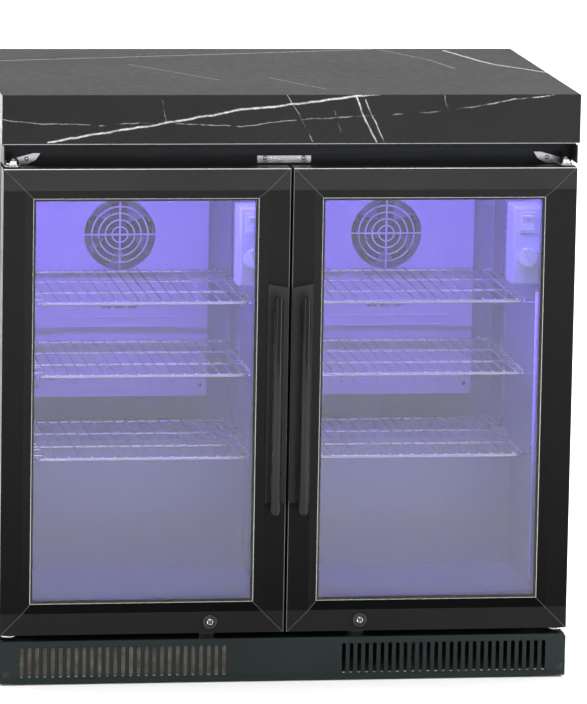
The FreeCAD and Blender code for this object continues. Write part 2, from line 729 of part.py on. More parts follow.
def make_doors():
    panes, spacer = door_glass()
    lock_body, lock_plug = door_lock()
    pieces = {
        "door_frame": door_frame(),
        "door_glass": panes,
        "glass_spacer": spacer,
        "door_gasket": door_gasket(),
        "handle": door_handle(),
        "lock_body": [lock_body],
        "lock_plug": [lock_plug],
    }
    for name, solids in pieces.items():
        save(name + "_right", *solids)
        save(name + "_left", *[mirrored(solid) for solid in solids])


# ---- Inside the compartments --------------------------------------------------------------------

def wire_shelf(x0, x1):
    """Rim bent to a rounded rectangle, bars on top of it and stays under the bars; z 0 is the rim."""
    y0, y1 = SHELF_Y
    bend = 12.0
    weld = 0.5
    tip = 1.5
    a0, a1 = x0 + RIM_R, x1 - RIM_R
    b0, b1 = y0 + RIM_R, y1 - RIM_R
    solids = [rod_x(a0 + bend, a1 - bend, y, 0.0, RIM_R) for y in (b0, b1)]
    solids += [rod_y(x, b0 + bend, b1 - bend, 0.0, RIM_R) for x in (a0, a1)]
    corners = ((a0 + bend, b0 + bend, 180), (a1 - bend, b0 + bend, 270),
               (a1 - bend, b1 - bend, 0), (a0 + bend, b1 - bend, 90))
    for x, y, turn in corners:
        elbow = Part.makeTorus(bend, RIM_R, vec(0, 0, 0), vec(0, 0, 1), 0, 360, 90)
        elbow.rotate(vec(0, 0, 0), vec(0, 0, 1), turn)
        elbow.translate(vec(x, y, 0))
        solids.append(elbow)
    bar_z = RIM_R + BAR_R - weld
    pitch = (a1 - a0) / (BAR_COUNT + 1.0)
    for i in range(BAR_COUNT):
        solids.append(rod_y(a0 + (i + 1) * pitch, y0 - tip, y1 + weld, bar_z, BAR_R))
    stay_z = bar_z - BAR_R - STAY_R + weld
    for share in STAY_SHARES:
        solids.append(rod_x(a0, a1, b0 + share * (b1 - b0), stay_z, STAY_R))
    for i in range(RUNG_COUNT):
        y = b0 + 2.0 * bend + i * RUNG_PITCH
        solids.append(rod_x(a0, a0 + pitch, y, RUNG_Z, RUNG_R))
        solids.append(rod_x(a1 - pitch, a1, y, RUNG_Z, RUNG_R))
    return joined(solids)


def make_shelves():
    for side, x0 in (("left", ROOM_LEFT), ("right", ROOM_LEFT + ROOM_PITCH)):
        shelf = wire_shelf(x0 + SHELF_GAP, x0 + ROOM_W - SHELF_GAP)
        for name, z in zip(("low", "middle", "top"), SHELF_Z):
            save("shelf_%s_%s" % (name, side), shifted(shelf, z=z))


def pilaster(wall, inwards, y, low, high):
    """Slotted strip on a compartment's wall."""
    slot_half = 4.0
    slot_h = 3.5
    slot_pitch = 12.7
    margin = 8.0
    xs = sorted((wall, wall + inwards * PILASTER_T))
    strip = box(*xs, y - PILASTER_W / 2.0, y + PILASTER_W / 2.0, low, high)
    slots = []
    for i in range(int((high - low - slot_pitch) / slot_pitch)):
        z = low + margin + i * slot_pitch
        slots.append(box(wall - slot_half, wall + slot_half, y - slot_half, y + slot_half, z, z + slot_h))
    return strip.cut(Part.makeCompound(slots))


def make_shelf_supports():
    """Slotted strips on the compartment walls, and the clips that hook into them."""
    play = 0.3
    front_low, strip_top = 150.0, 770.0
    strips = []
    clips = []
    for x0 in (ROOM_LEFT, ROOM_LEFT + ROOM_PITCH):
        for y in PILASTER_Y:
            low = front_low if y < STEP_FRONT else STEP_TOP + 10.0
            for wall, inwards in ((x0, 1.0), (x0 + ROOM_W, -1.0)):
                beside_box = inwards < 0 and y < STEP_FRONT
                high = BOX_Z[0] - 8.0 if beside_box else strip_top
                strips.append(pilaster(wall, inwards, y, low, high))
                face = wall + inwards * PILASTER_T
                clips += [shelf_clip(face, inwards, y, z - RIM_R - play) for z in SHELF_Z]
    save("shelf_pilasters", *strips)
    save("shelf_clips", *clips)


def shelf_clip(face, inwards, y, top):
    """Bent clip: a leaf on the strip and a finger under the shelf's rim."""
    leaf = 2.0
    rise = 12.0
    finger = 22.0
    thick = 3.0
    points = [(0.0, -thick), (finger, -thick), (finger, 0.0), (leaf, 0.0), (leaf, rise), (0.0, rise)]
    half = 6.0
    return prism_y([(face + inwards * u, top + w) for u, w in points], y - half, y + half)


def make_control_boxes():
    """Box on each compartment's right wall, with a switch opening and a raised surround."""
    y0, y1 = BOX_Y
    z0, z1 = BOX_Z
    proud = 1.5
    surround = 2.5
    chamfer = 3.0
    half_w, half_h = SWITCH_HALF
    for side, room_x in (("left", ROOM_LEFT), ("right", ROOM_LEFT + ROOM_PITCH)):
        x1 = room_x + ROOM_W
        x0 = x1 - BOX_W
        middle = x0 + BOX_MIDDLE
        shell = box(x0, x1, y0, y1, z0, z1)
        edges = [e for e in shell.Edges if e.BoundBox.YMax < y0 + 1.0 and e.BoundBox.XMin < x1 - 1.0]
        shell = shell.makeChamfer(chamfer, edges)
        shell = shell.cut(box(x0 + BOX_WALL, x1, y0 + BOX_WALL, y1 - BOX_WALL, z0 + BOX_WALL, z1 - BOX_WALL))
        wide, tall = half_w + surround, half_h + surround
        ring = box(middle - wide, middle + wide, y0 - proud, y0 + BOX_WALL / 2.0,
                   SWITCH_Z - tall, SWITCH_Z + tall)
        aperture = box(middle - half_w, middle + half_w, y0 - THROUGH, y0 + THROUGH,
                       SWITCH_Z - half_h, SWITCH_Z + half_h)
        shaft_hole = rod_y(middle, y0 - THROUGH, y0 + THROUGH, KNOB_Z, SHAFT_R + BORE_PLAY)
        save("control_box_" + side, joined([shell, ring]).cut(aperture).cut(shaft_hole))
        save("rocker_" + side, rocker(middle, y0 + ROCKER_SINK))
        save("knob_" + side, knob(middle, y0))


def rocker(x, pivot_y):
    """Two-faced rocker, tipped to its on side."""
    crest, saddle, rear = -7.0, -5.0, 2.0
    half = SWITCH_HALF[0] - 0.5
    drum = rod_x(x - half, x + half, 0.0, 0.0, SWITCH_R)
    faces = [(crest, -SWITCH_R), (saddle, 0.0), (crest, SWITCH_R), (rear, SWITCH_R), (rear, -SWITCH_R)]
    piece = drum.common(prism_x(faces, x - half, x + half))
    piece.rotate(vec(x, 0, 0), vec(1, 0, 0), SWITCH_TILT)
    piece.translate(vec(0, pivot_y, SWITCH_Z))
    return piece


def knob(x, face):
    """Skirted thermostat knob with a grip bar and a shaft into the box."""
    gap = 0.4
    skirt_t = 4.0
    grip_t = 9.0
    grip_half = 3.0
    grip_reach = KNOB_R - 0.6
    softened = 1.2
    shaft_in = 14.0
    front = face - gap - skirt_t
    skirt = rod_y(x, front, face - gap, KNOB_Z, KNOB_R)
    skirt = skirt.makeFillet(softened, [e for e in skirt.Edges if e.BoundBox.YMax < front + 0.1])
    grip = box(-grip_half, grip_half, -skirt_t - grip_t, 1.0 - skirt_t, -grip_reach, grip_reach)
    grip = grip.makeFillet(softened, [e for e in grip.Edges if e.BoundBox.YMax < -skirt_t])
    grip.rotate(vec(0, 0, 0), vec(0, 1, 0), -KNOB_TILT)
    grip.translate(vec(x, face - gap, KNOB_Z))
    shaft = rod_y(x, face - gap - 1.0, face + shaft_in, KNOB_Z, SHAFT_R)
    return joined([skirt, grip, shaft])


def make_lamps():
    """Light bars behind the door opening: one at each compartment's ceiling and one at each wall."""
    margin = 20.0
    lamps = []
    for x0 in (ROOM_LEFT, ROOM_LEFT + ROOM_PITCH):
        x1 = x0 + ROOM_W
        lamps.append(box(x0 + margin, x1 - margin, *LAMP_Y, ROOM_TOP - LAMP_T, ROOM_TOP))
        for x, top in ((x0, ROOM_TOP - 2.0 * LAMP_T), (x1 - LAMP_T, BOX_Z[0] - LAMP_T)):
            lamps.append(box(x, x + LAMP_T, *LAMP_Y, ROOM_FLOOR + margin, top))
    save("led_lamps", *lamps)


# ---- Evaporators --------------------------------------------------------------------------------

def fan_guard(x, front, back):
    """Rings and a cross over the fan opening."""
    wire = 2.5
    reach = FAN_R + 8.0
    half = 1.5
    pieces = []
    for radius in (14.0, 25.0, 36.0, 47.0):
        ring = rod_y(x, front, back, FAN_Z, radius)
        pieces.append(ring.cut(rod_y(x, front, back, FAN_Z, radius - wire)))
    pieces.append(box(x - reach, x + reach, front, back, FAN_Z - half, FAN_Z + half))
    pieces.append(box(x - half, x + half, front, back, FAN_Z - reach, FAN_Z + reach))
    return pieces


def evaporator_cover(x):
    """Front plate with a raised panel and a rib low down, fan guard and air slots above; four flanges."""
    half = COVER_W / 2.0
    z0, z1 = COVER_Z
    front, inner = COVER_FRONT, COVER_FRONT + SHEET
    y0, y1 = front - THROUGH, inner + THROUGH
    face = box(x - half, x + half, front, inner, z0, z1)
    flanges = [box(x - half, x + half, inner, ROOM_BACK, z, z + SHEET) for z in (z0, z1 - SHEET)]
    flanges += [box(side_x, side_x + SHEET, inner, ROOM_BACK, z0 + SHEET, z1 - SHEET)
                for side_x in (x - half, x + half - SHEET)]

    proud, sunk = 2.0, 0.5
    corner = 14.0
    raised = box(x - PANEL_HALF, x + PANEL_HALF, front - proud, front + sunk, *PANEL_Z)
    raised = raised.makeFillet(corner, [e for e in raised.Edges if e.BoundBox.YLength > proud])
    rib_z = (512.0, 516.0)
    rib = box(x - PANEL_HALF, x + PANEL_HALF, front - proud, front + sunk, *rib_z)

    fan_gap = 6.0
    cuts = [rod_y(x, y0, y1, FAN_Z, FAN_R + fan_gap)]
    slot_pitch, slot_r, slot_z = 16.0, 2.5, (722.0, 764.0)
    cuts += [slot_y(x + i * slot_pitch, y0, y1, *slot_z, slot_r) for i in range(-7, 8)]
    dot_pitch, dot_r, dot_z = 20.0, 2.0, 406.0
    cuts += [rod_y(x + (i - 4.5) * dot_pitch, y0, y1, dot_z, dot_r) for i in range(10)]
    vent_pitch, vent_half, vent_z = 22.0, 8.0, (529.0, 532.0)
    cuts += [box(x + i * vent_pitch - vent_half, x + i * vent_pitch + vent_half, y0, y1, *vent_z)
             for i in (-1, 0, 1)]
    screw_in, screw_z, screw_r = 12.0, 401.0, 3.5
    cuts += [rod_y(x + side * (half - screw_in), y0, y1, screw_z, screw_r) for side in (-1.0, 1.0)]
    plate = joined([face, raised, rib]).cut(Part.makeCompound(cuts))
    return [joined([plate] + fan_guard(x, front, inner))] + flanges


def evaporator_coil(x):
    """Finned block: tubes through upright fins."""
    half = 120.0
    tube_out = 8.0
    tube_r = 4.5
    tube_in = 10.0
    count = int(2.0 * half / FIN_PITCH) + 1
    solids = []
    for i in range(count):
        fin_x = x - half + i * FIN_PITCH
        solids.append(box(fin_x, fin_x + FIN_T, *COIL_Y, *COIL_Z))
    for z in COIL_ROWS:
        for y in (COIL_Y[0] + tube_in, COIL_Y[1] - tube_in):
            solids.append(rod_x(x - half - tube_out, x + half + FIN_T + tube_out, y, z, tube_r))
    return joined(solids)


def fan_motor(x, z, can_y, can_r, shaft_y, shaft_r):
    """Round can on its axis along Y, with the shaft out to the wheel."""
    return [rod_y(x, *can_y, z, can_r), rod_y(x, shaft_y, can_y[0] + 2.0, z, shaft_r)]


def make_evaporators():
    """Covers, coils and fans of both compartments; returns the motors."""
    covers = []
    coils = []
    motors = []
    depth = 12.0
    hub_r = 16.0
    blades = 5
    bore_in = 2.0
    wheel_y = COVER_FRONT + 7.0
    can_y = (wheel_y + depth + 8.0, ROOM_BACK - 5.0)
    can_r = 22.0
    foot_half = (60.0, 12.0)
    foot_t = 6.0
    for side, room_x in (("left", ROOM_LEFT), ("right", ROOM_LEFT + ROOM_PITCH)):
        x = room_x + ROOM_W / 2.0
        covers += evaporator_cover(x)
        coils.append(evaporator_coil(x))
        foot = box(x - foot_half[0], x + foot_half[0], ROOM_BACK - foot_t, ROOM_BACK,
                   FAN_Z - foot_half[1], FAN_Z + foot_half[1])
        motors.append(joined([foot] + fan_motor(x, FAN_Z, can_y, can_r, wheel_y + bore_in, SHAFT_R)))
        wheel = fan_wheel(x, wheel_y, FAN_Z, FAN_R, hub_r, depth, blades)
        bore = rod_y(x, wheel_y + bore_in - BORE_PLAY, can_y[0], FAN_Z, SHAFT_R + BORE_PLAY)
        save("evaporator_fan_" + side, wheel.cut(bore))
    save("evaporator_covers", *covers)
    save("evaporator_coils", *coils)
    return motors


# ---- Machine space ------------------------------------------------------------------------------

def make_condenser():
    """Finned coil, its shroud and its fan; returns the fan's motor."""
    x0, x1 = CONDENSER_X
    y0, y1 = CONDENSER_Y
    z0, z1 = CONDENSER_Z
    count = int((x1 - x0) / FIN_PITCH)
    solids = [box(x0 + i * FIN_PITCH, x0 + i * FIN_PITCH + FIN_T, y0, y1, z0, z1) for i in range(count)]
    for i in range(TUBE_ROWS):
        for y in (y0 + TUBE_ROW_Y, y1 - TUBE_ROW_Y):
            solids.append(rod_x(x0, x1, y, z0 + TUBE_ROW_Z + i * TUBE_ROW_PITCH, TUBE_R))
    save("condenser", joined(solids))

    fan_x, fan_z = COOLER_FAN
    face = y1 + 3.0
    plate_t = 2.0
    collar = 24.0
    tip_gap = 4.0
    collar_t = 2.0
    opening = rod_y(fan_x, face - 1.0, face + collar + 1.0, fan_z, COOLER_FAN_R + tip_gap)
    plate = box(x0, x1, face, face + plate_t, PAN_TOP, z1)
    ring = rod_y(fan_x, face, face + collar, fan_z, COOLER_FAN_R + tip_gap + collar_t)
    save("condenser_shroud", joined([plate, ring]).cut(opening))

    depth = 16.0
    hub_r = 26.0
    blades = 7
    shaft_r = 4.0
    bore_in = 2.0
    wheel_y = face + 4.0
    can_y = (wheel_y + depth + 16.0, wheel_y + depth + 66.0)
    can_r = 34.0
    leg_half = 15.0
    leg_in = 10.0
    wheel = fan_wheel(fan_x, wheel_y, fan_z, COOLER_FAN_R, hub_r, depth, blades)
    bore = rod_y(fan_x, wheel_y + bore_in - BORE_PLAY, can_y[0], fan_z, shaft_r + BORE_PLAY)
    save("condenser_fan", wheel.cut(bore))
    leg = box(fan_x - leg_half, fan_x + leg_half, can_y[0] + leg_in, can_y[1] - leg_in, PAN_TOP, fan_z)
    return joined([leg] + fan_motor(fan_x, fan_z, can_y, can_r, wheel_y + bore_in, shaft_r))


def make_compressor():
    """Welded can on a base plate with four posts and two tube stubs."""
    x, y = COMPRESSOR
    low = PAN_TOP + COMPRESSOR_LIFT
    dome = 30.0
    plate_half = (78.0, 62.0)
    plate_t = 3.0
    post = (66.0, 50.0)
    post_r = 9.0
    can = rod_z(x, y, low, low + COMPRESSOR_H, COMPRESSOR_R)
    can = can.makeFillet(dome, [e for e in can.Edges if e.BoundBox.ZLength < 0.1])
    plate = box(x - plate_half[0], x + plate_half[0], y - plate_half[1], y + plate_half[1],
                low, low + plate_t)
    neck = rod_z(x, y, low, low + dome, COMPRESSOR_R - dome + 5.0)
    posts = [rod_z(x + a * post[0], y + b * post[1], PAN_TOP, low + 1.0, post_r)
             for a in (-1.0, 1.0) for b in (-1.0, 1.0)]
    stub_low = low + COMPRESSOR_H - 50.0
    stubs = [rod_z(*stub, stub_low, STUB_Z, TUBE_R + 1.0) for stub in (DISCHARGE, SUCTION)]
    cover_x = (x + 40.0, x + COMPRESSOR_R + 14.0)
    cover_half = 22.0
    cover_z = (low + 50.0, low + 105.0)
    cover = box(*cover_x, y - cover_half, y + cover_half, *cover_z)
    save("compressor", joined([can, plate, neck, cover] + posts + stubs))


def make_pipes():
    """Discharge and liquid lines, the drier, and the two lines up to the evaporators."""
    row_y = CONDENSER_Y[0] + TUBE_ROW_Y
    outlet_z = CONDENSER_Z[0] + TUBE_ROW_Z
    inlet_z = outlet_z + (TUBE_ROWS - 1) * TUBE_ROW_PITCH
    end_x = CONDENSER_X[1]
    turn_x = end_x + 30.0
    drier_end_r = 5.0
    discharge = bent_tube([
        vec(*DISCHARGE, STUB_Z),
        vec(*DISCHARGE, inlet_z),
        vec(turn_x, DISCHARGE[1], inlet_z),
        vec(turn_x, row_y, inlet_z),
        vec(end_x, row_y, inlet_z),
    ], TUBE_R, TUBE_BEND)
    liquid = bent_tube([
        vec(end_x, row_y, outlet_z),
        vec(DRIER[0], row_y, outlet_z),
        vec(*DRIER, outlet_z),
        vec(*DRIER, DRIER_Z[0]),
    ], TUBE_R, TUBE_BEND)
    drier = rod_z(*DRIER, *DRIER_Z, DRIER_R)
    drier = drier.makeFillet(drier_end_r, [e for e in drier.Edges if e.BoundBox.ZLength < 0.1])
    feed = rod_z(*DRIER, DRIER_Z[1], MACHINE_TOP, TUBE_R)
    suction = rod_z(*SUCTION, STUB_Z, MACHINE_TOP, TUBE_R)
    save("refrigerant_pipes", discharge, liquid, drier, feed, suction)


def make_drain_pan():
    """Open tray on the base pan that the defrost water runs to."""
    (x0, x1), (y0, y1) = PAN_X, PAN_Y
    rim = PAN_TOP + PAN_H
    tray = box(x0, x1, y0, y1, PAN_TOP, rim)
    hollow = box(x0 + PAN_WALL, x1 - PAN_WALL, y0 + PAN_WALL, y1 - PAN_WALL,
                 PAN_TOP + PAN_WALL, rim + THROUGH)
    save("drain_pan", tray.cut(hollow))


def make_electrical_box():
    """Case with the mains gland that passes out through the rear panel."""
    corner = 4.0
    gland_out = 6.0
    case = box(*CASE_X, *CASE_Y, PAN_TOP, PAN_TOP + CASE_H)
    case = case.makeFillet(corner, [e for e in case.Edges if e.BoundBox.ZLength > CASE_H / 2.0])
    gland = rod_y(INLET_X, CASE_Y[1], CAB_REAR + gland_out, INLET_Z, INLET_R)
    mouth = rod_y(INLET_X, CASE_Y[1], CAB_REAR + gland_out, INLET_Z, GLAND_BORE_R)
    save("electrical_box", case, gland.cut(mouth))


# ---- Everything ---------------------------------------------------------------------------------

os.makedirs("parts", exist_ok=True)
make_worktop()
make_subframe()
make_casing()
make_rear_panel()
make_insulation()
save("inner_liners", *room_liner(ROOM_LEFT), *room_liner(ROOM_LEFT + ROOM_PITCH))
make_front()
make_base_pan()
make_kickplate()
make_feet()
make_hinges()
make_hinge_pins()
make_doors()
make_shelves()
make_shelf_supports()
make_control_boxes()
make_lamps()
evaporator_motors = make_evaporators()
condenser_motor = make_condenser()
save("fan_motors", *evaporator_motors, condenser_motor)
make_compressor()
make_pipes()
make_drain_pan()
make_electrical_box()
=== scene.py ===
"""Looks, light and camera for the two-door undercounter refrigerator.

Everything is in metres in the row frame: X to the right, Y to the back, Z up, the origin on the floor.
"""
import json
import math

import bmesh
import bpy
from mathutils import Matrix, Vector

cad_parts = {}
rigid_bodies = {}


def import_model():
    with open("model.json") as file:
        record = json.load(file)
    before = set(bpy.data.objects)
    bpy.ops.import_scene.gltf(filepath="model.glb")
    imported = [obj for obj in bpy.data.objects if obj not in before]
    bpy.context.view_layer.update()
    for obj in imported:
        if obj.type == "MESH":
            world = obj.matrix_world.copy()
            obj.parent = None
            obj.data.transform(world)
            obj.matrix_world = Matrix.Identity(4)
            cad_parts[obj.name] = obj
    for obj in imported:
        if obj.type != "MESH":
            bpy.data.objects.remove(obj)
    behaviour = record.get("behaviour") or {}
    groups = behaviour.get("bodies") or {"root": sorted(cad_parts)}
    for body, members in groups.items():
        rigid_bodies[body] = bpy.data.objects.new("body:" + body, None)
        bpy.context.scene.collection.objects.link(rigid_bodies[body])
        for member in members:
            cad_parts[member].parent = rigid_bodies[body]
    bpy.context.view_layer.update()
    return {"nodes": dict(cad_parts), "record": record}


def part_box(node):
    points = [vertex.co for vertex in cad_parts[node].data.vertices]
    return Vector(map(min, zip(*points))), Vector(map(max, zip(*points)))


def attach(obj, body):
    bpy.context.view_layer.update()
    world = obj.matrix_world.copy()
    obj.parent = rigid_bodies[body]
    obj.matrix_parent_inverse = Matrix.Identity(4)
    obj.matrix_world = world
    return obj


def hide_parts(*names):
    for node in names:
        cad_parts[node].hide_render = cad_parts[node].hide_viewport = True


for leftover in list(bpy.data.objects):
    bpy.data.objects.remove(leftover)

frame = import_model()
nodes = frame["nodes"]
SIDES = (("left", -1.0), ("right", 1.0))


# ---- Places and sizes: read from the frame, or the same as the CAD part's ---------------------------

door_low, door_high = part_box("door_frame_right")
DOOR_FACE = door_low.y
CABINET_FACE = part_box("fascia")[0].y
PROFILE = 0.047          # width of the door profile
FLAT = 0.034             # width of its flat front
LIP = 0.008              # how far its bevel falls back
LAMP_FADE = (0.30, 0.62)             # heights where the wall lamps start to glow and reach full strength
CEILING_LAMP = 0.7805    # above this height a lamp belongs to the ceiling
ROOM_X = 0.2185          # middle of a compartment, from the middle of the cabinet

HANDLE_PLATE_T = 0.0034  # a little more than the thickness of the handles' backing plates
PLUG_BLACK = 0.0015      # a lock plug is black where it stands out of the door by more than this
FLANGE_T = 0.003         # thickness of the upper and lower hinge flanges
STRAP_T = 0.002          # thickness of the bracket in the middle of the fascia
STRAP_SCREWS = (-0.037, 0.024)
TOP_SCREW_Z = 0.825      # screws of the upper hinge flanges and of the middle bracket
LOW_SCREW_Z = 0.090      # screws of the lower hinge flanges
HINGE_SCREW_X = 0.410
KICK_SCREW = (0.440, 0.018)
SMALL_HEAD, LARGE_HEAD = 0.0035, 0.0055
CROWN = 0.0025           # height of a screw head

LOUVRE_FIRST = (-0.380, 0.060)
LOUVRE_PITCH = (0.080, 0.017)
LOUVRE_COUNT = (9, 12)
LOUVRE_W = 0.060
HOOD_REACH = 0.0035      # how far a hood stands out of the rear panel
HOOD_TOP = 0.0062        # its upper edge, above the slot's lower edge
HOOD_DROP = 0.0058       # how far it comes down over the slot
HOOD_LAP = 0.001         # how far it passes the slot at each end
HOOD_T = 0.0007          # its thickness

ROCKER_TILT = math.radians(7.0)
ROCKER_PIVOT = 0.00858   # behind the rocker's foremost point
ROCKER_FACE = 0.005      # from the pivot to the ridge of the rocker's face
ROCKER_SLOPE = 0.002 / 0.0134        # how the face falls back from its ridge
RING_Z, STROKE_Z = 0.0075, -0.0065   # heights of the two marks, from the ridge
RING_R = 0.0024
STROKE_HALF = 0.0027
MARK_R = 0.0006


# ---- Node graph helper ----------------------------------------------------------------------------

class Look:
    """A material, with short ways to add nodes to it."""

    def __init__(self, name, color=(0.5, 0.5, 0.5), roughness=0.5, metallic=0.0, **sockets):
        self.material = bpy.data.materials.new(name)
        self.material.use_nodes = True
        self.tree = self.material.node_tree
        self.shader = self.tree.nodes["Principled BSDF"]
        self.set("Base Color", (*color, 1.0))
        self.set("Roughness", roughness)
        self.set("Metallic", metallic)
        for socket, value in sockets.items():
            self.set(socket.replace("_", " "), value)
        self.place = self.add("TexCoord").outputs["Object"]

    def add(self, kind, **settings):
        node = self.tree.nodes.new("ShaderNode" + kind)
        for key, value in settings.items():
            setattr(node, key, value)
        return node

    def plug(self, socket, value):
        if isinstance(value, bpy.types.NodeSocket):
            self.tree.links.new(value, socket)
        else:
            socket.default_value = value

    def set(self, name, value):
        self.plug(self.shader.inputs[name], value)

    def math(self, operation, a, b=0.0):
        node = self.add("Math", operation=operation)
        self.plug(node.inputs[0], a)
        self.plug(node.inputs[1], b)
        return node.outputs[0]

    def vector(self, operation, a, b):
        node = self.add("VectorMath", operation=operation)
        self.plug(node.inputs[0], a)
        self.plug(node.inputs[1], b)
        return node.outputs[0]

    def stretched(self, scale):
        node = self.add("Mapping")
        self.plug(node.inputs["Vector"], self.place)
        node.inputs["Scale"].default_value = scale
        return node.outputs[0]

    def noise(self, scale, detail=3.0, stretch=None, output="Fac"):
        node = self.add("TexNoise")
        self.plug(node.inputs["Vector"], self.stretched(stretch) if stretch else self.place)
        node.inputs["Scale"].default_value = scale
        node.inputs["Detail"].default_value = detail
        return node.outputs[output]

    def cells(self, scale, output="Color"):
        node = self.add("TexVoronoi")
        self.plug(node.inputs["Vector"], self.place)
        node.inputs["Scale"].default_value = scale
        return node.outputs[output]

    def axis(self, name):
        node = self.add("SeparateXYZ")
        self.plug(node.inputs[0], self.place)
        return node.outputs[name]

    def remap(self, value, low, high, to_low=0.0, to_high=1.0):
        node = self.add("MapRange")
        self.plug(node.inputs["Value"], value)
        ends = {"From Min": low, "From Max": high, "To Min": to_low, "To Max": to_high}
        for name, number in ends.items():
            self.plug(node.inputs[name], number)
        return node.outputs[0]

    def mix(self, share, a, b):
        node = self.add("Mix", data_type="RGBA")
        self.plug(node.inputs["Factor"], share)
        for number, color in ((6, a), (7, b)):
            linked = isinstance(color, bpy.types.NodeSocket)
            self.plug(node.inputs[number], color if linked else (*color, 1.0))
        return node.outputs[2]

    def blend(self, share, a, b):
        node = self.add("Mix", data_type="FLOAT")
        self.plug(node.inputs["Factor"], share)
        self.plug(node.inputs[2], a)
        self.plug(node.inputs[3], b)
        return node.outputs[0]

    def bands(self, direction, scale):
        node = self.add("TexWave", wave_type="BANDS", bands_direction=direction, wave_profile="SIN")
        self.plug(node.inputs["Vector"], self.place)
        node.inputs["Scale"].default_value = scale
        return node.outputs["Fac"]

    def point(self, x, y):
        node = self.add("CombineXYZ")
        self.plug(node.inputs[0], x)
        self.plug(node.inputs[1], y)
        return node.outputs[0]

    def bump(self, height, strength, distance):
        node = self.add("Bump")
        node.inputs["Strength"].default_value = strength
        node.inputs["Distance"].default_value = distance
        self.plug(node.inputs["Height"], height)
        self.set("Normal", node.outputs[0])


def varied(look, low, high, scale):
    """Roughness that drifts between two values over the surface."""
    look.set("Roughness", look.remap(look.noise(scale, 4.0), 0.3, 0.7, low, high))


# ---- Stone with veins -----------------------------------------------------------------------------

def vein_group():
    """Mask of one straight stretch of a vein: 1 on the line from A to B, 0 beyond the width."""
    tree = bpy.data.node_groups.new("vein_stretch", "ShaderNodeTree")
    face = tree.interface
    for name in ("Point", "A", "B"):
        face.new_socket(name, in_out="INPUT", socket_type="NodeSocketVector")
    face.new_socket("Width", in_out="INPUT", socket_type="NodeSocketFloat")
    face.new_socket("Mask", in_out="OUTPUT", socket_type="NodeSocketFloat")
    entry = tree.nodes.new("NodeGroupInput").outputs
    exit_node = tree.nodes.new("NodeGroupOutput")

    def vector(operation, a, b, scalar=False):
        node = tree.nodes.new("ShaderNodeVectorMath")
        node.operation = operation
        tree.links.new(a, node.inputs[0])
        tree.links.new(b, node.inputs["Scale" if operation == "SCALE" else 1])
        return node.outputs["Value" if scalar else 0]

    along = vector("SUBTRACT", entry["B"], entry["A"])
    away = vector("SUBTRACT", entry["Point"], entry["A"])
    ratio = tree.nodes.new("ShaderNodeMath")
    ratio.operation = "DIVIDE"
    ratio.use_clamp = True
    tree.links.new(vector("DOT_PRODUCT", away, along, True), ratio.inputs[0])
    tree.links.new(vector("DOT_PRODUCT", along, along, True), ratio.inputs[1])
    foot = vector("SCALE", along, ratio.outputs[0])
    distance = vector("DISTANCE", away, foot, True)
    fade = tree.nodes.new("ShaderNodeMapRange")
    fade.interpolation_type = "SMOOTHSTEP"
    tree.links.new(distance, fade.inputs["Value"])
    tree.links.new(entry["Width"], fade.inputs["From Max"])
    fade.inputs["To Min"].default_value = 1.0
    fade.inputs["To Max"].default_value = 0.0
    tree.links.new(fade.outputs[0], exit_node.inputs[0])
    return tree


VEIN = vein_group()


def stone(name, point_of, veins):
    """Polished near-black stone; veins are (points, width, strength), in the plane that point_of gives."""
    look = Look(name, roughness=0.3, Specular_IOR_Level=0.30)
    wobble = look.vector("SUBTRACT", look.noise(34.0, 5.0, output="Color"), (0.5, 0.5, 0.5))
    shift = look.add("VectorMath", operation="SCALE")
    look.plug(shift.inputs[0], wobble)
    shift.inputs["Scale"].default_value = 0.007
    point = look.vector("ADD", point_of(look), shift.outputs[0])
    grain = look.remap(look.noise(260.0, 6.0), 0.35, 0.7, 0.55, 1.0)
    mask = 0.0
    for points, width, strength in veins:
        line = 0.0
        for start, end in zip(points, points[1:]):
            stretch = look.add("Group", node_tree=VEIN)
            look.plug(stretch.inputs["Point"], point)
            stretch.inputs["A"].default_value = (start[0], start[1], 0.0)
            stretch.inputs["B"].default_value = (end[0], end[1], 0.0)
            stretch.inputs["Width"].default_value = width
            line = look.math("MAXIMUM", line, stretch.outputs[0])
        mask = look.math("MAXIMUM", mask, look.math("MULTIPLY", line, strength))
    mask = look.math("MULTIPLY", mask, grain)
    cloud = look.remap(look.noise(5.0, 6.0), 0.3, 0.75)
    ground = look.mix(cloud, (0.008, 0.0085, 0.009), (0.016, 0.0165, 0.017))
    fleck = look.remap(look.cells(900.0, "Distance"), 0.0, 0.12, 0.10, 0.0)
    ground = look.mix(look.math("MULTIPLY", fleck, look.noise(700.0)), ground, (0.06, 0.06, 0.06))
    look.set("Base Color", look.mix(mask, ground, (0.86, 0.86, 0.85)))
    varied(look, 0.22, 0.30, 60.0)
    return look.material


def top_point(look):
    """Seen from above."""
    return look.point(look.axis("X"), look.axis("Y"))


def apron_point(look):
    """Along the apron, then up: X on the front and back boards, Y on the side boards."""
    normal = look.add("NewGeometry").outputs["True Normal"]
    parts = look.add("SeparateXYZ")
    look.plug(parts.inputs[0], normal)
    sideways = look.math("GREATER_THAN", look.math("ABSOLUTE", parts.outputs["X"]), 0.7)
    behind = look.math("GREATER_THAN", look.axis("Y"), 0.3)
    mirrored = look.math("MULTIPLY", look.axis("X"), look.remap(behind, 0.0, 1.0, 1.0, -1.0))
    across = look.math("ADD", look.math("MULTIPLY", look.axis("Y"), 1.3), 0.12)
    return look.point(look.blend(sideways, mirrored, across), look.axis("Z"))


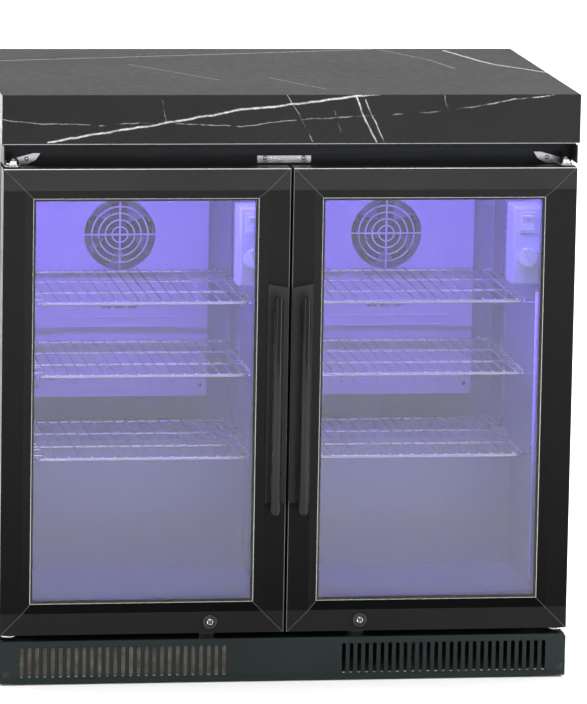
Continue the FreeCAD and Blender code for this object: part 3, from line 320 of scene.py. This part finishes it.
FRONT_VEINS = [
    ([(-0.382, 0.857), (-0.341, 0.864), (-0.199, 0.886), (-0.088, 0.906), (0.0, 0.9155), (0.097, 0.928),
      (0.135, 0.931)], 0.0024, 1.0),
    ([(-0.453, 0.892), (-0.388, 0.885), (-0.3, 0.8835), (-0.223, 0.887), (-0.152, 0.884), (-0.082, 0.881),
      (-0.011, 0.889)], 0.0011, 0.5),
    ([(-0.011, 0.889), (0.088, 0.896), (0.17, 0.9), (0.236, 0.904), (0.3, 0.913)], 0.0011, 0.45),
    ([(0.3, 0.913), (0.353, 0.923), (0.411, 0.929)], 0.0013, 0.75),
    ([(-0.207, 0.931), (-0.199, 0.889)], 0.001, 0.5),
    ([(-0.011, 0.93), (0.012, 0.893), (0.03, 0.856)], 0.001, 0.55),
    ([(0.097, 0.927), (0.113, 0.89), (0.131, 0.855)], 0.002, 0.95),
    ([(0.111, 0.922), (0.128, 0.888), (0.144, 0.855)], 0.0015, 0.75),
    ([(0.237, 0.929), (0.256, 0.866)], 0.0009, 0.4),
    ([(0.064, 0.905), (0.074, 0.872)], 0.0008, 0.25),
]
TOP_VEINS = [
    ([(-0.453, 0.145), (-0.12, 0.222), (0.217, 0.306)], 0.004, 0.34),
    ([(0.335, 0.29), (0.372, 0.14), (0.385, 0.1), (0.457, -0.014)], 0.0045, 0.62),
    ([(-0.21, 0.105), (-0.094, -0.095)], 0.004, 0.13),
    ([(-0.008, -0.071), (0.06, -0.212)], 0.004, 0.13),
    ([(0.228, 0.305), (0.289, 0.164), (0.31, 0.05)], 0.004, 0.16),
]


# ---- Metals, plastics and the rest ----------------------------------------------------------------

def coated(name, color, low=0.3, high=0.42, grain=0.05, scale=900.0):
    """Powder coat: fine orange peel and a slow drift of gloss."""
    look = Look(name, color, low, Specular_IOR_Level=0.22)
    drift = look.remap(look.noise(6.0, 4.0), 0.3, 0.7, 0.85, 1.15)
    tone = look.add("VectorMath", operation="SCALE")
    tone.inputs[0].default_value = color
    look.plug(tone.inputs["Scale"], drift)
    look.set("Base Color", tone.outputs[0])
    varied(look, low, high, 24.0)
    look.bump(look.noise(scale, 2.0), grain, 0.0004)
    return look.material


def brushed(name, color, metallic, low, high, stretch, depth=0.12):
    """Rolled or brushed sheet, its grain along the axis with the smallest stretch."""
    look = Look(name, color, low, metallic)
    streaks = look.noise(1.0, 6.0, stretch)
    dark = tuple(0.86 * c for c in color)
    look.set("Base Color", look.mix(look.remap(streaks, 0.3, 0.7), dark, color))
    look.set("Roughness", look.remap(streaks, 0.3, 0.7, low, high))
    look.bump(streaks, depth, 0.0003)
    return look.material


def spangled(name, color, scale, low, high):
    """Galvanised or zinc-plated sheet: crystals of slightly different brightness."""
    look = Look(name, color, low, 0.92)
    crystal = look.cells(scale)
    grey = look.add("RGBToBW")
    look.plug(grey.inputs[0], crystal)
    share = look.remap(grey.outputs[0], 0.2, 0.8)
    dark = tuple(0.74 * c for c in color)
    look.set("Base Color", look.mix(share, dark, color))
    look.set("Roughness", look.remap(share, 0.0, 1.0, high, low))
    look.bump(look.noise(180.0, 4.0), 0.06, 0.0005)
    return look.material


def polished(name, color, low=0.06, high=0.16):
    """Bright plating with faint handling marks."""
    look = Look(name, color, low, 1.0)
    varied(look, low, high, 90.0)
    look.bump(look.noise(300.0, 5.0), 0.03, 0.0003)
    return look.material


def moulded(name, color, low, high, grain=0.1, scale=1500.0):
    """Moulded plastic or rubber with a fine spark texture."""
    look = Look(name, color, low)
    shade = tuple(0.9 * c for c in color)
    look.set("Base Color", look.mix(look.noise(12.0, 5.0), shade, color))
    varied(look, low, high, 40.0)
    look.bump(look.noise(scale, 3.0), grain, 0.0002)
    return look.material


def handle_look():
    """Gloss black bar over a satin backing plate, which is painted lighter towards the top and darker
    downwards as painted light and shade.
    """
    look = Look("handle_black", (0.02, 0.02, 0.02), 0.1, Specular_IOR_Level=0.25)
    plate = look.math("GREATER_THAN", look.axis("Y"), DOOR_FACE - HANDLE_PLATE_T)
    # Painted light and shade: the plate's colour runs from dark low down to lighter high up.
    fade = look.remap(look.axis("Z"), 0.28, 0.63)
    plate_painted_shading = look.mix(fade, (0.008, 0.008, 0.008), (0.022, 0.022, 0.021))
    look.set("Base Color", look.mix(plate, (0.012, 0.012, 0.012), plate_painted_shading))
    smudge = look.remap(look.noise(45.0, 5.0), 0.3, 0.7, 0.08, 0.16)
    look.set("Roughness", look.blend(plate, smudge, 0.36))
    look.bump(look.noise(700.0, 2.0), 0.02, 0.0003)
    return look.material


def door_look():
    """Anodised profile: satin black, with painted light along the top rail and painted shade down the
    stiles and on the lower rail.
    """
    look = Look("door_black", (0.02, 0.02, 0.02), 0.3, Specular_IOR_Level=0.08)
    height = look.axis("Z")
    # Painted shade: the stiles are painted darker towards the bottom.
    painted_stile_shade = look.mix(look.remap(height, 0.12, 0.72), (0.0015, 0.0016, 0.0016), (0.013, 0.013, 0.013))
    cloud = look.remap(look.noise(5.0, 4.0), 0.3, 0.7)
    # Painted light: the top rail is painted lighter than the rest of the profile.
    top = look.mix(cloud, (0.028, 0.0275, 0.027), (0.034, 0.0335, 0.033))
    # Painted shade: the lower rail is painted darker than the top rail.
    low = look.mix(cloud, (0.009, 0.0092, 0.0092), (0.012, 0.012, 0.012))
    in_top = look.math("GREATER_THAN", height, door_high.z - FLAT)
    in_low = look.math("LESS_THAN", height, door_low.z + FLAT)
    look.set("Base Color", look.mix(in_low, look.mix(in_top, painted_stile_shade, top), low))
    varied(look, 0.28, 0.36, 30.0)
    look.bump(look.noise(1200.0, 2.0), 0.02, 0.0002)
    return look.material


def glass_look():
    """Float glass with a slight grey tint and the faintest smears."""
    look = Look("door_glass", (0.80, 0.81, 0.86), 0.0, Transmission_Weight=1.0, IOR=1.45)
    look.set("Roughness", look.remap(look.noise(14.0, 5.0), 0.55, 0.8, 0.0, 0.02))
    return look.material


def lamp_look():
    """Diffusers over rows of light-emitting diodes: the ceiling bars strong, the wall bars dim."""
    look = Look("led", (0.5, 0.45, 0.9), 0.4)
    look.set("Emission Color", look.mix(look.bands("Z", 16.0), (0.15, 0.10, 1.0), (0.20, 0.15, 1.0)))
    height = look.axis("Z")
    wall = look.remap(height, *LAMP_FADE, 0.05, 2.2)
    ceiling = look.math("GREATER_THAN", height, CEILING_LAMP)
    look.set("Emission Strength", look.math("ADD", wall, look.math("MULTIPLY", ceiling, 12.0)))
    return look.material


def filter_look():
    """Dusty woven filter: two crossed sets of threads."""
    look = Look("filter_mesh", (0.2, 0.17, 0.14), 0.8)
    threads = 0.0
    for direction in ("X", "Z"):
        threads = look.math("MAXIMUM", threads, look.bands(direction, 150.0))
    dust = look.remap(look.noise(55.0, 5.0), 0.35, 0.7)
    color = look.mix(dust, (0.13, 0.105, 0.085), (0.3, 0.26, 0.225))
    look.set("Base Color", look.mix(look.remap(threads, 0.4, 0.9), (0.01, 0.008, 0.006), color))
    look.bump(threads, 0.5, 0.0006)
    return look.material


def plug_look():
    """Lock plug: blackened face, bright behind it."""
    look = Look("lock_plug", (0.7, 0.7, 0.71), 0.16, 0.6)
    face = look.math("LESS_THAN", look.axis("Y"), DOOR_FACE - PLUG_BLACK)
    look.set("Base Color", look.mix(face, (0.7, 0.7, 0.71), (0.02, 0.02, 0.02)))
    varied(look, 0.12, 0.22, 200.0)
    return look.material


def plastic_with_painted_glow(name, color, glow):
    """Pale plastic with a faint painted glow: it gives off light though it is no lamp."""
    look = Look(name, color, 0.4)
    shade = tuple(0.93 * c for c in color)
    tone = look.mix(look.noise(12.0, 5.0), shade, color)
    look.set("Base Color", tone)
    # Painted glow: the plastic's own colour is given off as light.
    look.set("Emission Color", tone)
    look.set("Emission Strength", glow)
    varied(look, 0.36, 0.46, 40.0)
    look.bump(look.noise(1500.0, 3.0), 0.05, 0.0002)
    return look.material


# Noise scales along X, Y and Z for upright grain and for grain that runs across.
FINE_UPRIGHT = (900.0, 900.0, 14.0)
FINE_ACROSS = (14.0, 900.0, 900.0)

LOOKS = {
    "black_steel": coated("black_steel", (0.020, 0.021, 0.023)),
    "fascia_black": coated("fascia_black", (0.020, 0.022, 0.028), 0.25, 0.34),
    "kick_black": coated("kick_black", (0.010, 0.017, 0.017), 0.38, 0.5, 0.07),
    "galvanised": spangled("galvanised", (0.50, 0.51, 0.52), 70.0, 0.32, 0.46),
    "foam": moulded("foam", (0.82, 0.76, 0.55), 0.85, 0.95, 0.4, 400.0),
    # The liner's violet tint is painted lamp light: a cool grey sheet tinted towards the colour of the
    # lamps.
    "liner": brushed("liner", (0.44, 0.42, 0.52), 0.35, 0.36, 0.48, FINE_UPRIGHT),
    "filter_mesh": filter_look(),
    "zinc_plate": brushed("zinc_plate", (0.62, 0.63, 0.66), 0.9, 0.16, 0.28, FINE_ACROSS, 0.05),
    "chrome": polished("chrome", (0.80, 0.80, 0.81)),
    "screw_black": coated("screw_black", (0.03, 0.03, 0.03), 0.3, 0.4),
    "led": lamp_look(),
    "fin_aluminium": brushed("fin_aluminium", (0.72, 0.73, 0.74), 0.9, 0.3, 0.42, FINE_UPRIGHT),
    "motor_black": coated("motor_black", (0.035, 0.035, 0.04)),
    "fan_plastic": moulded("fan_plastic", (0.03, 0.03, 0.034), 0.4, 0.52),
    "compressor_black": coated("compressor_black", (0.014, 0.014, 0.016), 0.16, 0.26, 0.08, 300.0),
    "copper": polished("copper", (0.78, 0.42, 0.28), 0.2, 0.34),
    "white_plastic": moulded("white_plastic", (0.72, 0.73, 0.72), 0.4, 0.5),
    "box_plastic": moulded("box_plastic", (0.04, 0.04, 0.045), 0.45, 0.55),
    "door_black": door_look(),
    "door_glass": glass_look(),
    "spacer": brushed("spacer", (0.42, 0.44, 0.48), 0.9, 0.26, 0.36, FINE_ACROSS),
    "gasket_rubber": moulded("gasket_rubber", (0.018, 0.018, 0.02), 0.55, 0.7),
    "handle_black": handle_look(),
    "lock_black": moulded("lock_black", (0.012, 0.012, 0.012), 0.12, 0.2, 0.02),
    "wire_chrome": polished("wire_chrome", (0.78, 0.78, 0.80), 0.1, 0.2),
    "control_grey": plastic_with_painted_glow("control_grey", (0.58, 0.60, 0.60), 0.10),
    "switch_white": plastic_with_painted_glow("switch_white", (0.66, 0.68, 0.68), 0.18),
    "foot_rubber": moulded("foot_rubber", (0.025, 0.025, 0.026), 0.6, 0.75),
}

PLUG = plug_look()

# Nodes with a look of their own.
OWN_LOOKS = {
    "worktop_slab": stone("stone_top", top_point, TOP_VEINS),
    "worktop_aprons": stone("stone_apron", apron_point, FRONT_VEINS),
    "lock_plug_left": PLUG,
    "lock_plug_right": PLUG,
    "evaporator_covers": brushed("cover_sheet", (0.66, 0.54, 0.62), 0.2, 0.4, 0.5, FINE_UPRIGHT),
}

# Width in metres of the softened edge on each CAD node whose edges catch the light.
SOFT_EDGES = {
    "worktop_slab": 0.0012, "worktop_aprons": 0.0009, "kickplate": 0.0004, "fascia": 0.0004,
    "outer_casing": 0.0005, "rear_panel": 0.0003, "front_frame": 0.0004, "hinge_brackets": 0.0005,
    "hinge_pins": 0.0005, "inner_liners": 0.0003, "evaporator_covers": 0.0003, "shelf_clips": 0.0003,
    "worktop_subframe": 0.0010, "electrical_box": 0.0008, "condenser_shroud": 0.0003,
}
for side, _ in SIDES:
    SOFT_EDGES["door_frame_" + side] = 0.0005
    SOFT_EDGES["control_box_" + side] = 0.0006
    SOFT_EDGES["rocker_" + side] = 0.0005
    SOFT_EDGES["knob_" + side] = 0.0004
    SOFT_EDGES["handle_" + side] = 0.0005
    SOFT_EDGES["door_gasket_" + side] = 0.0006
    SOFT_EDGES["lock_plug_" + side] = 0.0003


def soften(obj, width):
    """Rounds the sharp edges without touching the CAD mesh itself."""
    weld = obj.modifiers.new("joined_edges", "WELD")
    weld.merge_threshold = 0.00001
    bevel = obj.modifiers.new("soft_edges", "BEVEL")
    bevel.width = width
    bevel.segments = 2
    bevel.limit_method = "ANGLE"
    bevel.angle_limit = math.radians(35.0)
    bevel.use_clamp_overlap = True
    bevel.harden_normals = True


def dress_nodes():
    """Gives each CAD node its material, and soft edges where they show."""
    slots = {part["node"]: part["material_slot"] for part in frame["record"]["subparts"]}
    for name, obj in nodes.items():
        material = OWN_LOOKS.get(name) or LOOKS[slots[name]]
        obj.data.materials.clear()
        obj.data.materials.append(material)
        if name in SOFT_EDGES:
            soften(obj, SOFT_EDGES[name])


dress_nodes()


# ---- Detail pieces --------------------------------------------------------------------------------

def finish_piece(name, bm, material, body):
    """Turns the bmesh into a piece that rides on a body."""
    bmesh.ops.recalc_face_normals(bm, faces=bm.faces)
    mesh = bpy.data.meshes.new(name)
    bm.to_mesh(mesh)
    bm.free()
    obj = bpy.data.objects.new(name, mesh)
    bpy.context.collection.objects.link(obj)
    mesh.materials.append(material)
    for polygon in mesh.polygons:
        polygon.use_smooth = True
    mesh.set_sharp_from_angle(angle=math.radians(40.0))
    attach(obj, body)
    return obj


def lathe(bm, profile, centre, steps=48):
    """Turns (radius, depth) points about the Y axis through the centre."""
    rings = []
    for radius, depth in profile:
        ring = []
        for i in range(steps):
            angle = 2.0 * math.pi * i / steps
            spoke = Vector((radius * math.cos(angle), depth, radius * math.sin(angle)))
            ring.append(bm.verts.new(centre + spoke))
        rings.append(ring)
    for one, two in zip(rings, rings[1:]):
        for i in range(steps):
            j = (i + 1) % steps
            bm.faces.new((one[i], one[j], two[j], two[i]))
    return rings


def tube(bm, points, radius, steps=10, closed=False):
    """A round tube along straight stretches, mitred at each corner."""
    count = len(points)
    rings = []
    for i, point in enumerate(points):
        before = points[i - 1] if i or closed else point
        after = points[(i + 1) % count] if i < count - 1 or closed else point
        entering = (point - before).normalized() if point != before else (after - point).normalized()
        leaving = (after - point).normalized() if point != after else entering
        tangent = (entering + leaving).normalized()
        spread = 1.0 / max(0.3, tangent.dot(leaving))
        side = tangent.cross(Vector((0.0, 1.0, 0.0))).normalized()
        front = side.cross(tangent).normalized()
        ring = []
        for k in range(steps):
            angle = 2.0 * math.pi * k / steps
            ring.append(bm.verts.new(point + side * (radius * spread * math.cos(angle))
                                     + front * (radius * math.sin(angle))))
        rings.append(ring)
    pairs = list(zip(rings, rings[1:]))
    if closed:
        pairs.append((rings[-1], rings[0]))
    for one, two in pairs:
        for k in range(steps):
            j = (k + 1) % steps
            bm.faces.new((one[k], one[j], two[j], two[k]))
    if not closed:
        bm.faces.new(rings[0])
        bm.faces.new(rings[-1])


def rod(bm, start, end, radius, steps=8):
    """A straight tube between two points."""
    tube(bm, [Vector(start), Vector(end)], radius, steps)


def make_glazing():
    """Bright bead where each pane meets its frame."""
    bead = polished("bead", (0.50, 0.50, 0.47), 0.22, 0.32)
    inset = PROFILE + 0.0007
    y = DOOR_FACE + LIP + 0.0012
    for side, sign in SIDES:
        x0, x1 = sign * (door_low.x + inset), sign * (door_high.x - inset)
        z0, z1 = door_low.z + inset, door_high.z - inset
        corners = [Vector((x, y, z)) for x, z in ((x0, z0), (x1, z0), (x1, z1), (x0, z1))]
        bm = bmesh.new()
        tube(bm, corners, 0.0008, closed=True)
        finish_piece("glass_bead_" + side, bm, bead, "door_" + side)


def make_door_lines():
    """Dark mitre joints at the corners, and painted highlights: thin bright rods beside the mitres, along
    the top and beside the gap, where the edges would catch the light.
    """
    dark = moulded("joint_dark", (0.003, 0.003, 0.003), 0.6, 0.7)
    # Painted highlight: grey rods beside the mitres and along the gap edge stand for edges catching the
    # light.
    light = brushed("joint_painted_highlight", (0.16, 0.16, 0.16), 0.3, 0.3, 0.4, FINE_ACROSS)
    # Painted highlight: a bright rod along the top edge of each door.
    painted_highlight_rod = polished("painted_highlight_rod", (0.80, 0.80, 0.80), 0.25, 0.35)
    margin = 0.0008
    path = ((margin, DOOR_FACE), (FLAT, DOOR_FACE), (PROFILE, DOOR_FACE + LIP))
    corners = [(x_edge, x_way, z_edge, z_way)
               for x_edge, x_way in ((door_low.x, 1.0), (door_high.x, -1.0))
               for z_edge, z_way in ((door_low.z, 1.0), (door_high.z, -1.0))]
    for side, sign in SIDES:
        joints, edges = bmesh.new(), bmesh.new()
        for x_edge, x_way, z_edge, z_way in corners:
            for bm, aside in ((joints, 0.0), (edges, margin)):
                points = [Vector((sign * (x_edge + x_way * (u + aside)), y, z_edge + z_way * u))
                          for u, y in path]
                tube(bm, points, 0.00035, 6)
        finish_piece("door_mitres_" + side, joints, dark, "door_" + side)
        finish_piece("door_mitre_painted_highlights_" + side, edges, light, "door_" + side)
        bm = bmesh.new()
        y, z = DOOR_FACE + 0.0002, door_high.z - 0.0003
        rod(bm, (sign * door_low.x, y, z), (sign * door_high.x, y, z), 0.0008)
        finish_piece("door_top_arris_" + side, bm, painted_highlight_rod, "door_" + side)
        bm = bmesh.new()
        x = sign * (door_low.x + 0.0002)
        rod(bm, (x, DOOR_FACE, door_low.z), (x, DOOR_FACE, door_high.z), 0.0005)
        finish_piece("door_gap_arris_" + side, bm, light, "door_" + side)


def make_apron_arris():
    """Painted highlight along the lower edge of the front apron: a bright rod where the polished edge
    would catch the light.
    """
    low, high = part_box("worktop_aprons")
    painted_edge_highlight = polished("apron_painted_highlight", (0.42, 0.42, 0.42), 0.25, 0.4)
    bm = bmesh.new()
    sink, end_gap = 0.0006, 0.001
    y, z = low.y + sink, low.z + sink
    rod(bm, (low.x + end_gap, y, z), (high.x - end_gap, y, z), 0.0008)
    finish_piece("apron_arris", bm, painted_edge_highlight, "cabinet")


def make_strap_knurls():
    """Row of rounded ribs along the bracket in the middle of the fascia."""
    face = CABINET_FACE - STRAP_T
    first, pitch, count = -0.0465, 0.0032, 26
    low, high = 0.8180, 0.8275
    screw_room = 0.005
    bm = bmesh.new()
    for i in range(count):
        x = first + pitch * i
        if min(abs(x - screw_x) for screw_x in STRAP_SCREWS) > screw_room:
            rod(bm, (x, face, low), (x, face, high), 0.0012)
    finish_piece("strap_knurls", bm, LOOKS["zinc_plate"], "cabinet")


def make_locks():
    """Turned bezel round each lock, and the bright ring on its plug."""
    bore = 0.00625
    for side, _ in SIDES:
        low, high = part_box("lock_body_" + side)
        centre = (low + high) / 2.0
        centre.y = DOOR_FACE
        outer = (high.x - low.x) / 2.0
        rim = [(0.0, 0.0), (0.0, -0.0008), (-0.0008, -0.0019), (-0.0024, -0.0022), (-0.0036, -0.0016),
               (-0.0044, -0.0006)]
        throat = [(0.0066, -0.0006), (bore, -0.0002), (bore, 0.006)]
        bm = bmesh.new()
        lathe(bm, [(outer + step, depth) for step, depth in rim] + throat, centre)
        bezel = finish_piece("lock_bezel_" + side, bm, LOOKS["lock_black"], "door_" + side)
        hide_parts("lock_body_" + side)
        bm = bmesh.new()
        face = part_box("lock_plug_" + side)[0].y - DOOR_FACE
        lathe(bm, [(0.0047, face + 0.0001), (0.0046, face - 0.0003), (0.0041, face - 0.0005),
                   (0.0037, face - 0.0003), (0.0036, face + 0.0001)], centre)
        finish_piece("lock_ring_" + side, bm, LOOKS["chrome"], "lock_" + side)


# Corners of a box's faces, where the corners run through z first, then y, then x.
BOX_FACES = ((0, 1, 3, 2), (4, 6, 7, 5), (0, 4, 5, 1), (2, 3, 7, 6), (0, 2, 6, 4), (1, 5, 7, 3))


def cross_recess(head, centre, radius, face):
    """Cuts a cross recess into a screw head."""
    bm = bmesh.new()
    arm, thin, deep = radius * 0.55, radius * 0.13, 0.0012
    for half_x, half_z in ((arm, thin), (thin, arm)):
        low = Vector((centre.x - half_x, face - 0.001, centre.z - half_z))
        high = Vector((centre.x + half_x, face + deep, centre.z + half_z))
        corners = [bm.verts.new((x, y, z))
                   for x in (low.x, high.x) for y in (low.y, high.y) for z in (low.z, high.z)]
        for face_corners in BOX_FACES:
            bm.faces.new([corners[i] for i in face_corners])
    bmesh.ops.recalc_face_normals(bm, faces=bm.faces)
    mesh = bpy.data.meshes.new("recess")
    bm.to_mesh(mesh)
    bm.free()
    cutter = bpy.data.objects.new("recess", mesh)
    bpy.context.collection.objects.link(cutter)
    modifier = head.modifiers.new("recess", "BOOLEAN")
    modifier.operation = "DIFFERENCE"
    modifier.solver = "EXACT"
    modifier.use_self = True
    modifier.object = cutter
    with bpy.context.temp_override(object=head, active_object=head, selected_objects=[head]):
        bpy.ops.object.modifier_apply(modifier=modifier.name)
    bpy.data.objects.remove(cutter)


def make_screws():
    """Domed heads with cross recesses in place of the plain CAD screws."""
    flange_face = CABINET_FACE - FLANGE_T
    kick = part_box("kickplate")[0].y
    dome = ((0.93, 0.62), (0.7, 0.9), (0.3, 1.0))
    places = []
    for _, sign in SIDES:
        places.append((sign * HINGE_SCREW_X, flange_face, TOP_SCREW_Z, SMALL_HEAD))
        places.append((sign * HINGE_SCREW_X, flange_face, LOW_SCREW_Z, LARGE_HEAD))
        places.append((sign * KICK_SCREW[0], kick, KICK_SCREW[1], LARGE_HEAD))
    for x in STRAP_SCREWS:
        places.append((x, CABINET_FACE - STRAP_T, TOP_SCREW_Z, SMALL_HEAD))
    for number, (x, y, z, radius) in enumerate(places):
        bm = bmesh.new()
        centre = Vector((x, y, z))
        profile = [(radius, 0.0), (radius, -0.0005)]
        profile += [(radius * share, -CROWN * height) for share, height in dome]
        rings = lathe(bm, profile + [(0.00001, -CROWN)], centre, 36)
        bm.faces.new(rings[0])
        bm.faces.new(rings[-1])
        slot_name = "screw_black" if y == kick else "zinc_plate"
        head = finish_piece("screw_head_%d" % number, bm, LOOKS[slot_name], "cabinet")
        cross_recess(head, centre, radius, y - CROWN)
    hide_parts("screws")


def make_switch_marks():
    """On and off marks: a ring and a stroke on each rocker."""
    ink = moulded("mark_ink", (0.05, 0.05, 0.09), 0.5, 0.6)
    for side, _ in SIDES:
        low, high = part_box("rocker_" + side)
        middle = (low + high) / 2.0
        pivot = Vector((middle.x, low.y + ROCKER_PIVOT, middle.z))

        def on_face(x, mark_z, z):
            """A point of the mark at mark_z, carried from the untilted rocker to the tilted one."""
            y = -ROCKER_FACE - abs(mark_z) * ROCKER_SLOPE
            height = mark_z + z
            return pivot + Vector((x, y * math.cos(ROCKER_TILT) - height * math.sin(ROCKER_TILT),
                                   y * math.sin(ROCKER_TILT) + height * math.cos(ROCKER_TILT)))

        bm = bmesh.new()
        angles = [2.0 * math.pi * i / 20 for i in range(20)]
        ring = [on_face(RING_R * math.cos(a), RING_Z, RING_R * math.sin(a)) for a in angles]
        tube(bm, ring, MARK_R, 6, closed=True)
        tube(bm, [on_face(0.0, STROKE_Z, z) for z in (-STROKE_HALF, STROKE_HALF)], MARK_R, 6)
        finish_piece("rocker_marks_" + side, bm, ink, "rocker_" + side)


def make_louvres():
    """Pressed hoods over the slots of the rear panel."""
    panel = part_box("rear_panel")[1].y
    bm = bmesh.new()
    steps = 5
    for column in range(LOUVRE_COUNT[0]):
        x0 = LOUVRE_FIRST[0] + column * LOUVRE_PITCH[0]
        ends = (x0 - HOOD_LAP, x0 + LOUVRE_W + HOOD_LAP)
        for row in range(LOUVRE_COUNT[1]):
            z0 = LOUVRE_FIRST[1] + row * LOUVRE_PITCH[1]
            arc = []
            for i in range(steps + 1):
                angle = 0.5 * math.pi * i / steps
                drop = HOOD_DROP * (1.0 - math.cos(angle))
                arc.append((panel + HOOD_REACH * math.sin(angle), z0 + HOOD_TOP - drop))
            outer = [[bm.verts.new((x, y, z)) for y, z in arc] for x in ends]
            inner = [[bm.verts.new((x, y - HOOD_T, z - HOOD_T)) for y, z in arc] for x in ends]
            for i in range(steps):
                bm.faces.new((outer[0][i], outer[0][i + 1], outer[1][i + 1], outer[1][i]))
                bm.faces.new((inner[0][i], inner[1][i], inner[1][i + 1], inner[0][i + 1]))
                for end in (0, 1):
                    bm.faces.new((outer[end][i], outer[end][i + 1], inner[end][i + 1], inner[end][i]))
            for i in (0, steps):
                bm.faces.new((outer[0][i], outer[1][i], inner[1][i], inner[0][i]))
    finish_piece("rear_louvres", bm, LOOKS["galvanised"], "cabinet")


make_glazing()
make_locks()
make_screws()
make_switch_marks()
make_door_lines()
make_apron_arris()
make_strap_knurls()
make_louvres()


# ---- Studio ---------------------------------------------------------------------------------------

def make_stage():
    """Wide pale floor."""
    bm = bmesh.new()
    bmesh.ops.create_circle(bm, cap_ends=True, segments=96, radius=45.0)
    mesh = bpy.data.meshes.new("floor")
    bm.to_mesh(mesh)
    bm.free()
    obj = bpy.data.objects.new("floor", mesh)
    bpy.context.collection.objects.link(obj)
    paper = Look("floor_paper", (0.88, 0.88, 0.88), 0.9)
    paper.set("Base Color", paper.mix(paper.noise(1.5), (0.87, 0.87, 0.87), (0.90, 0.90, 0.90)))
    mesh.materials.append(paper.material)


def area_light(name, place, target, size, power, color=(1.0, 1.0, 1.0), glossy=True):
    """A rectangular soft light that the camera doesn't see."""
    light = bpy.data.lights.new(name, "AREA")
    light.shape = "RECTANGLE"
    light.size, light.size_y = size
    light.energy = power
    light.color = color
    obj = bpy.data.objects.new(name, light)
    obj.location = place
    obj.rotation_euler = (Vector(target) - Vector(place)).to_track_quat("-Z", "Y").to_euler()
    obj.visible_camera = False
    obj.visible_glossy = glossy
    bpy.context.collection.objects.link(obj)


def make_lights():
    """Soft boxes round the object, washes over the floor and a glow in each compartment."""
    middle = (0.0, 0.0, 0.5)
    area_light("top_soft", (0.0, 0.6, 3.6), (0.0, 0.0, 0.0), (5.0, 3.0), 125.0)
    area_light("left_strip", (-4.2, -3.4, 1.6), middle, (0.8, 3.0), 30.0)
    area_light("right_strip", (4.2, -3.0, 1.6), middle, (0.8, 3.0), 60.0)
    area_light("front_soft", (-1.0, -7.0, 4.5), middle, (4.0, 2.0), 60.0)
    area_light("rear_soft", (1.5, 6.0, 4.0), middle, (4.0, 2.0), 90.0, glossy=False)
    for y, power in ((-4.0, 900.0), (7.0, 1500.0), (17.0, 2600.0)):
        area_light("floor_wash_%d" % y, (0.0, y, 9.0), (0.0, y, 0.0), (16.0, 8.0), power, glossy=False)
    for side, sign in SIDES:
        x = sign * ROOM_X
        area_light("lamp_glow_" + side, (x, -0.214, 0.779), (x, 0.05, 0.45), (0.34, 0.012), 5.0,
                   (0.20, 0.15, 1.0), glossy=False)
    world = bpy.data.worlds.new("studio")
    world.use_nodes = True
    background = world.node_tree.nodes["Background"]
    background.inputs["Color"].default_value = (1.0, 1.0, 1.0, 1.0)
    background.inputs["Strength"].default_value = 0.35
    bpy.context.scene.world = world


def make_camera():
    """Long lens, a little to the left and above, looking slightly to the right and down."""
    yaw, pitch, roll = (math.radians(a) for a in (8.685, -9.727, 1.012))
    ahead = Vector((math.sin(yaw) * math.cos(pitch), math.cos(yaw) * math.cos(pitch), math.sin(pitch)))
    level = Vector((math.cos(yaw), -math.sin(yaw), 0.0))
    rise = level.cross(ahead)
    right = level * math.cos(roll) + rise * math.sin(roll)
    up = rise * math.cos(roll) - level * math.sin(roll)
    data = bpy.data.cameras.new("camera")
    data.sensor_width = 36.0
    data.lens = 299.5
    data.clip_end = 100.0
    obj = bpy.data.objects.new("camera", data)
    turn = Matrix((right, up, -ahead)).transposed().to_4x4()
    obj.matrix_world = Matrix.Translation((-1.353, -9.181, 2.069)) @ turn
    bpy.context.collection.objects.link(obj)
    bpy.context.scene.camera = obj


make_stage()
make_lights()
make_camera()
bpy.context.scene.view_settings.view_transform = "Standard"
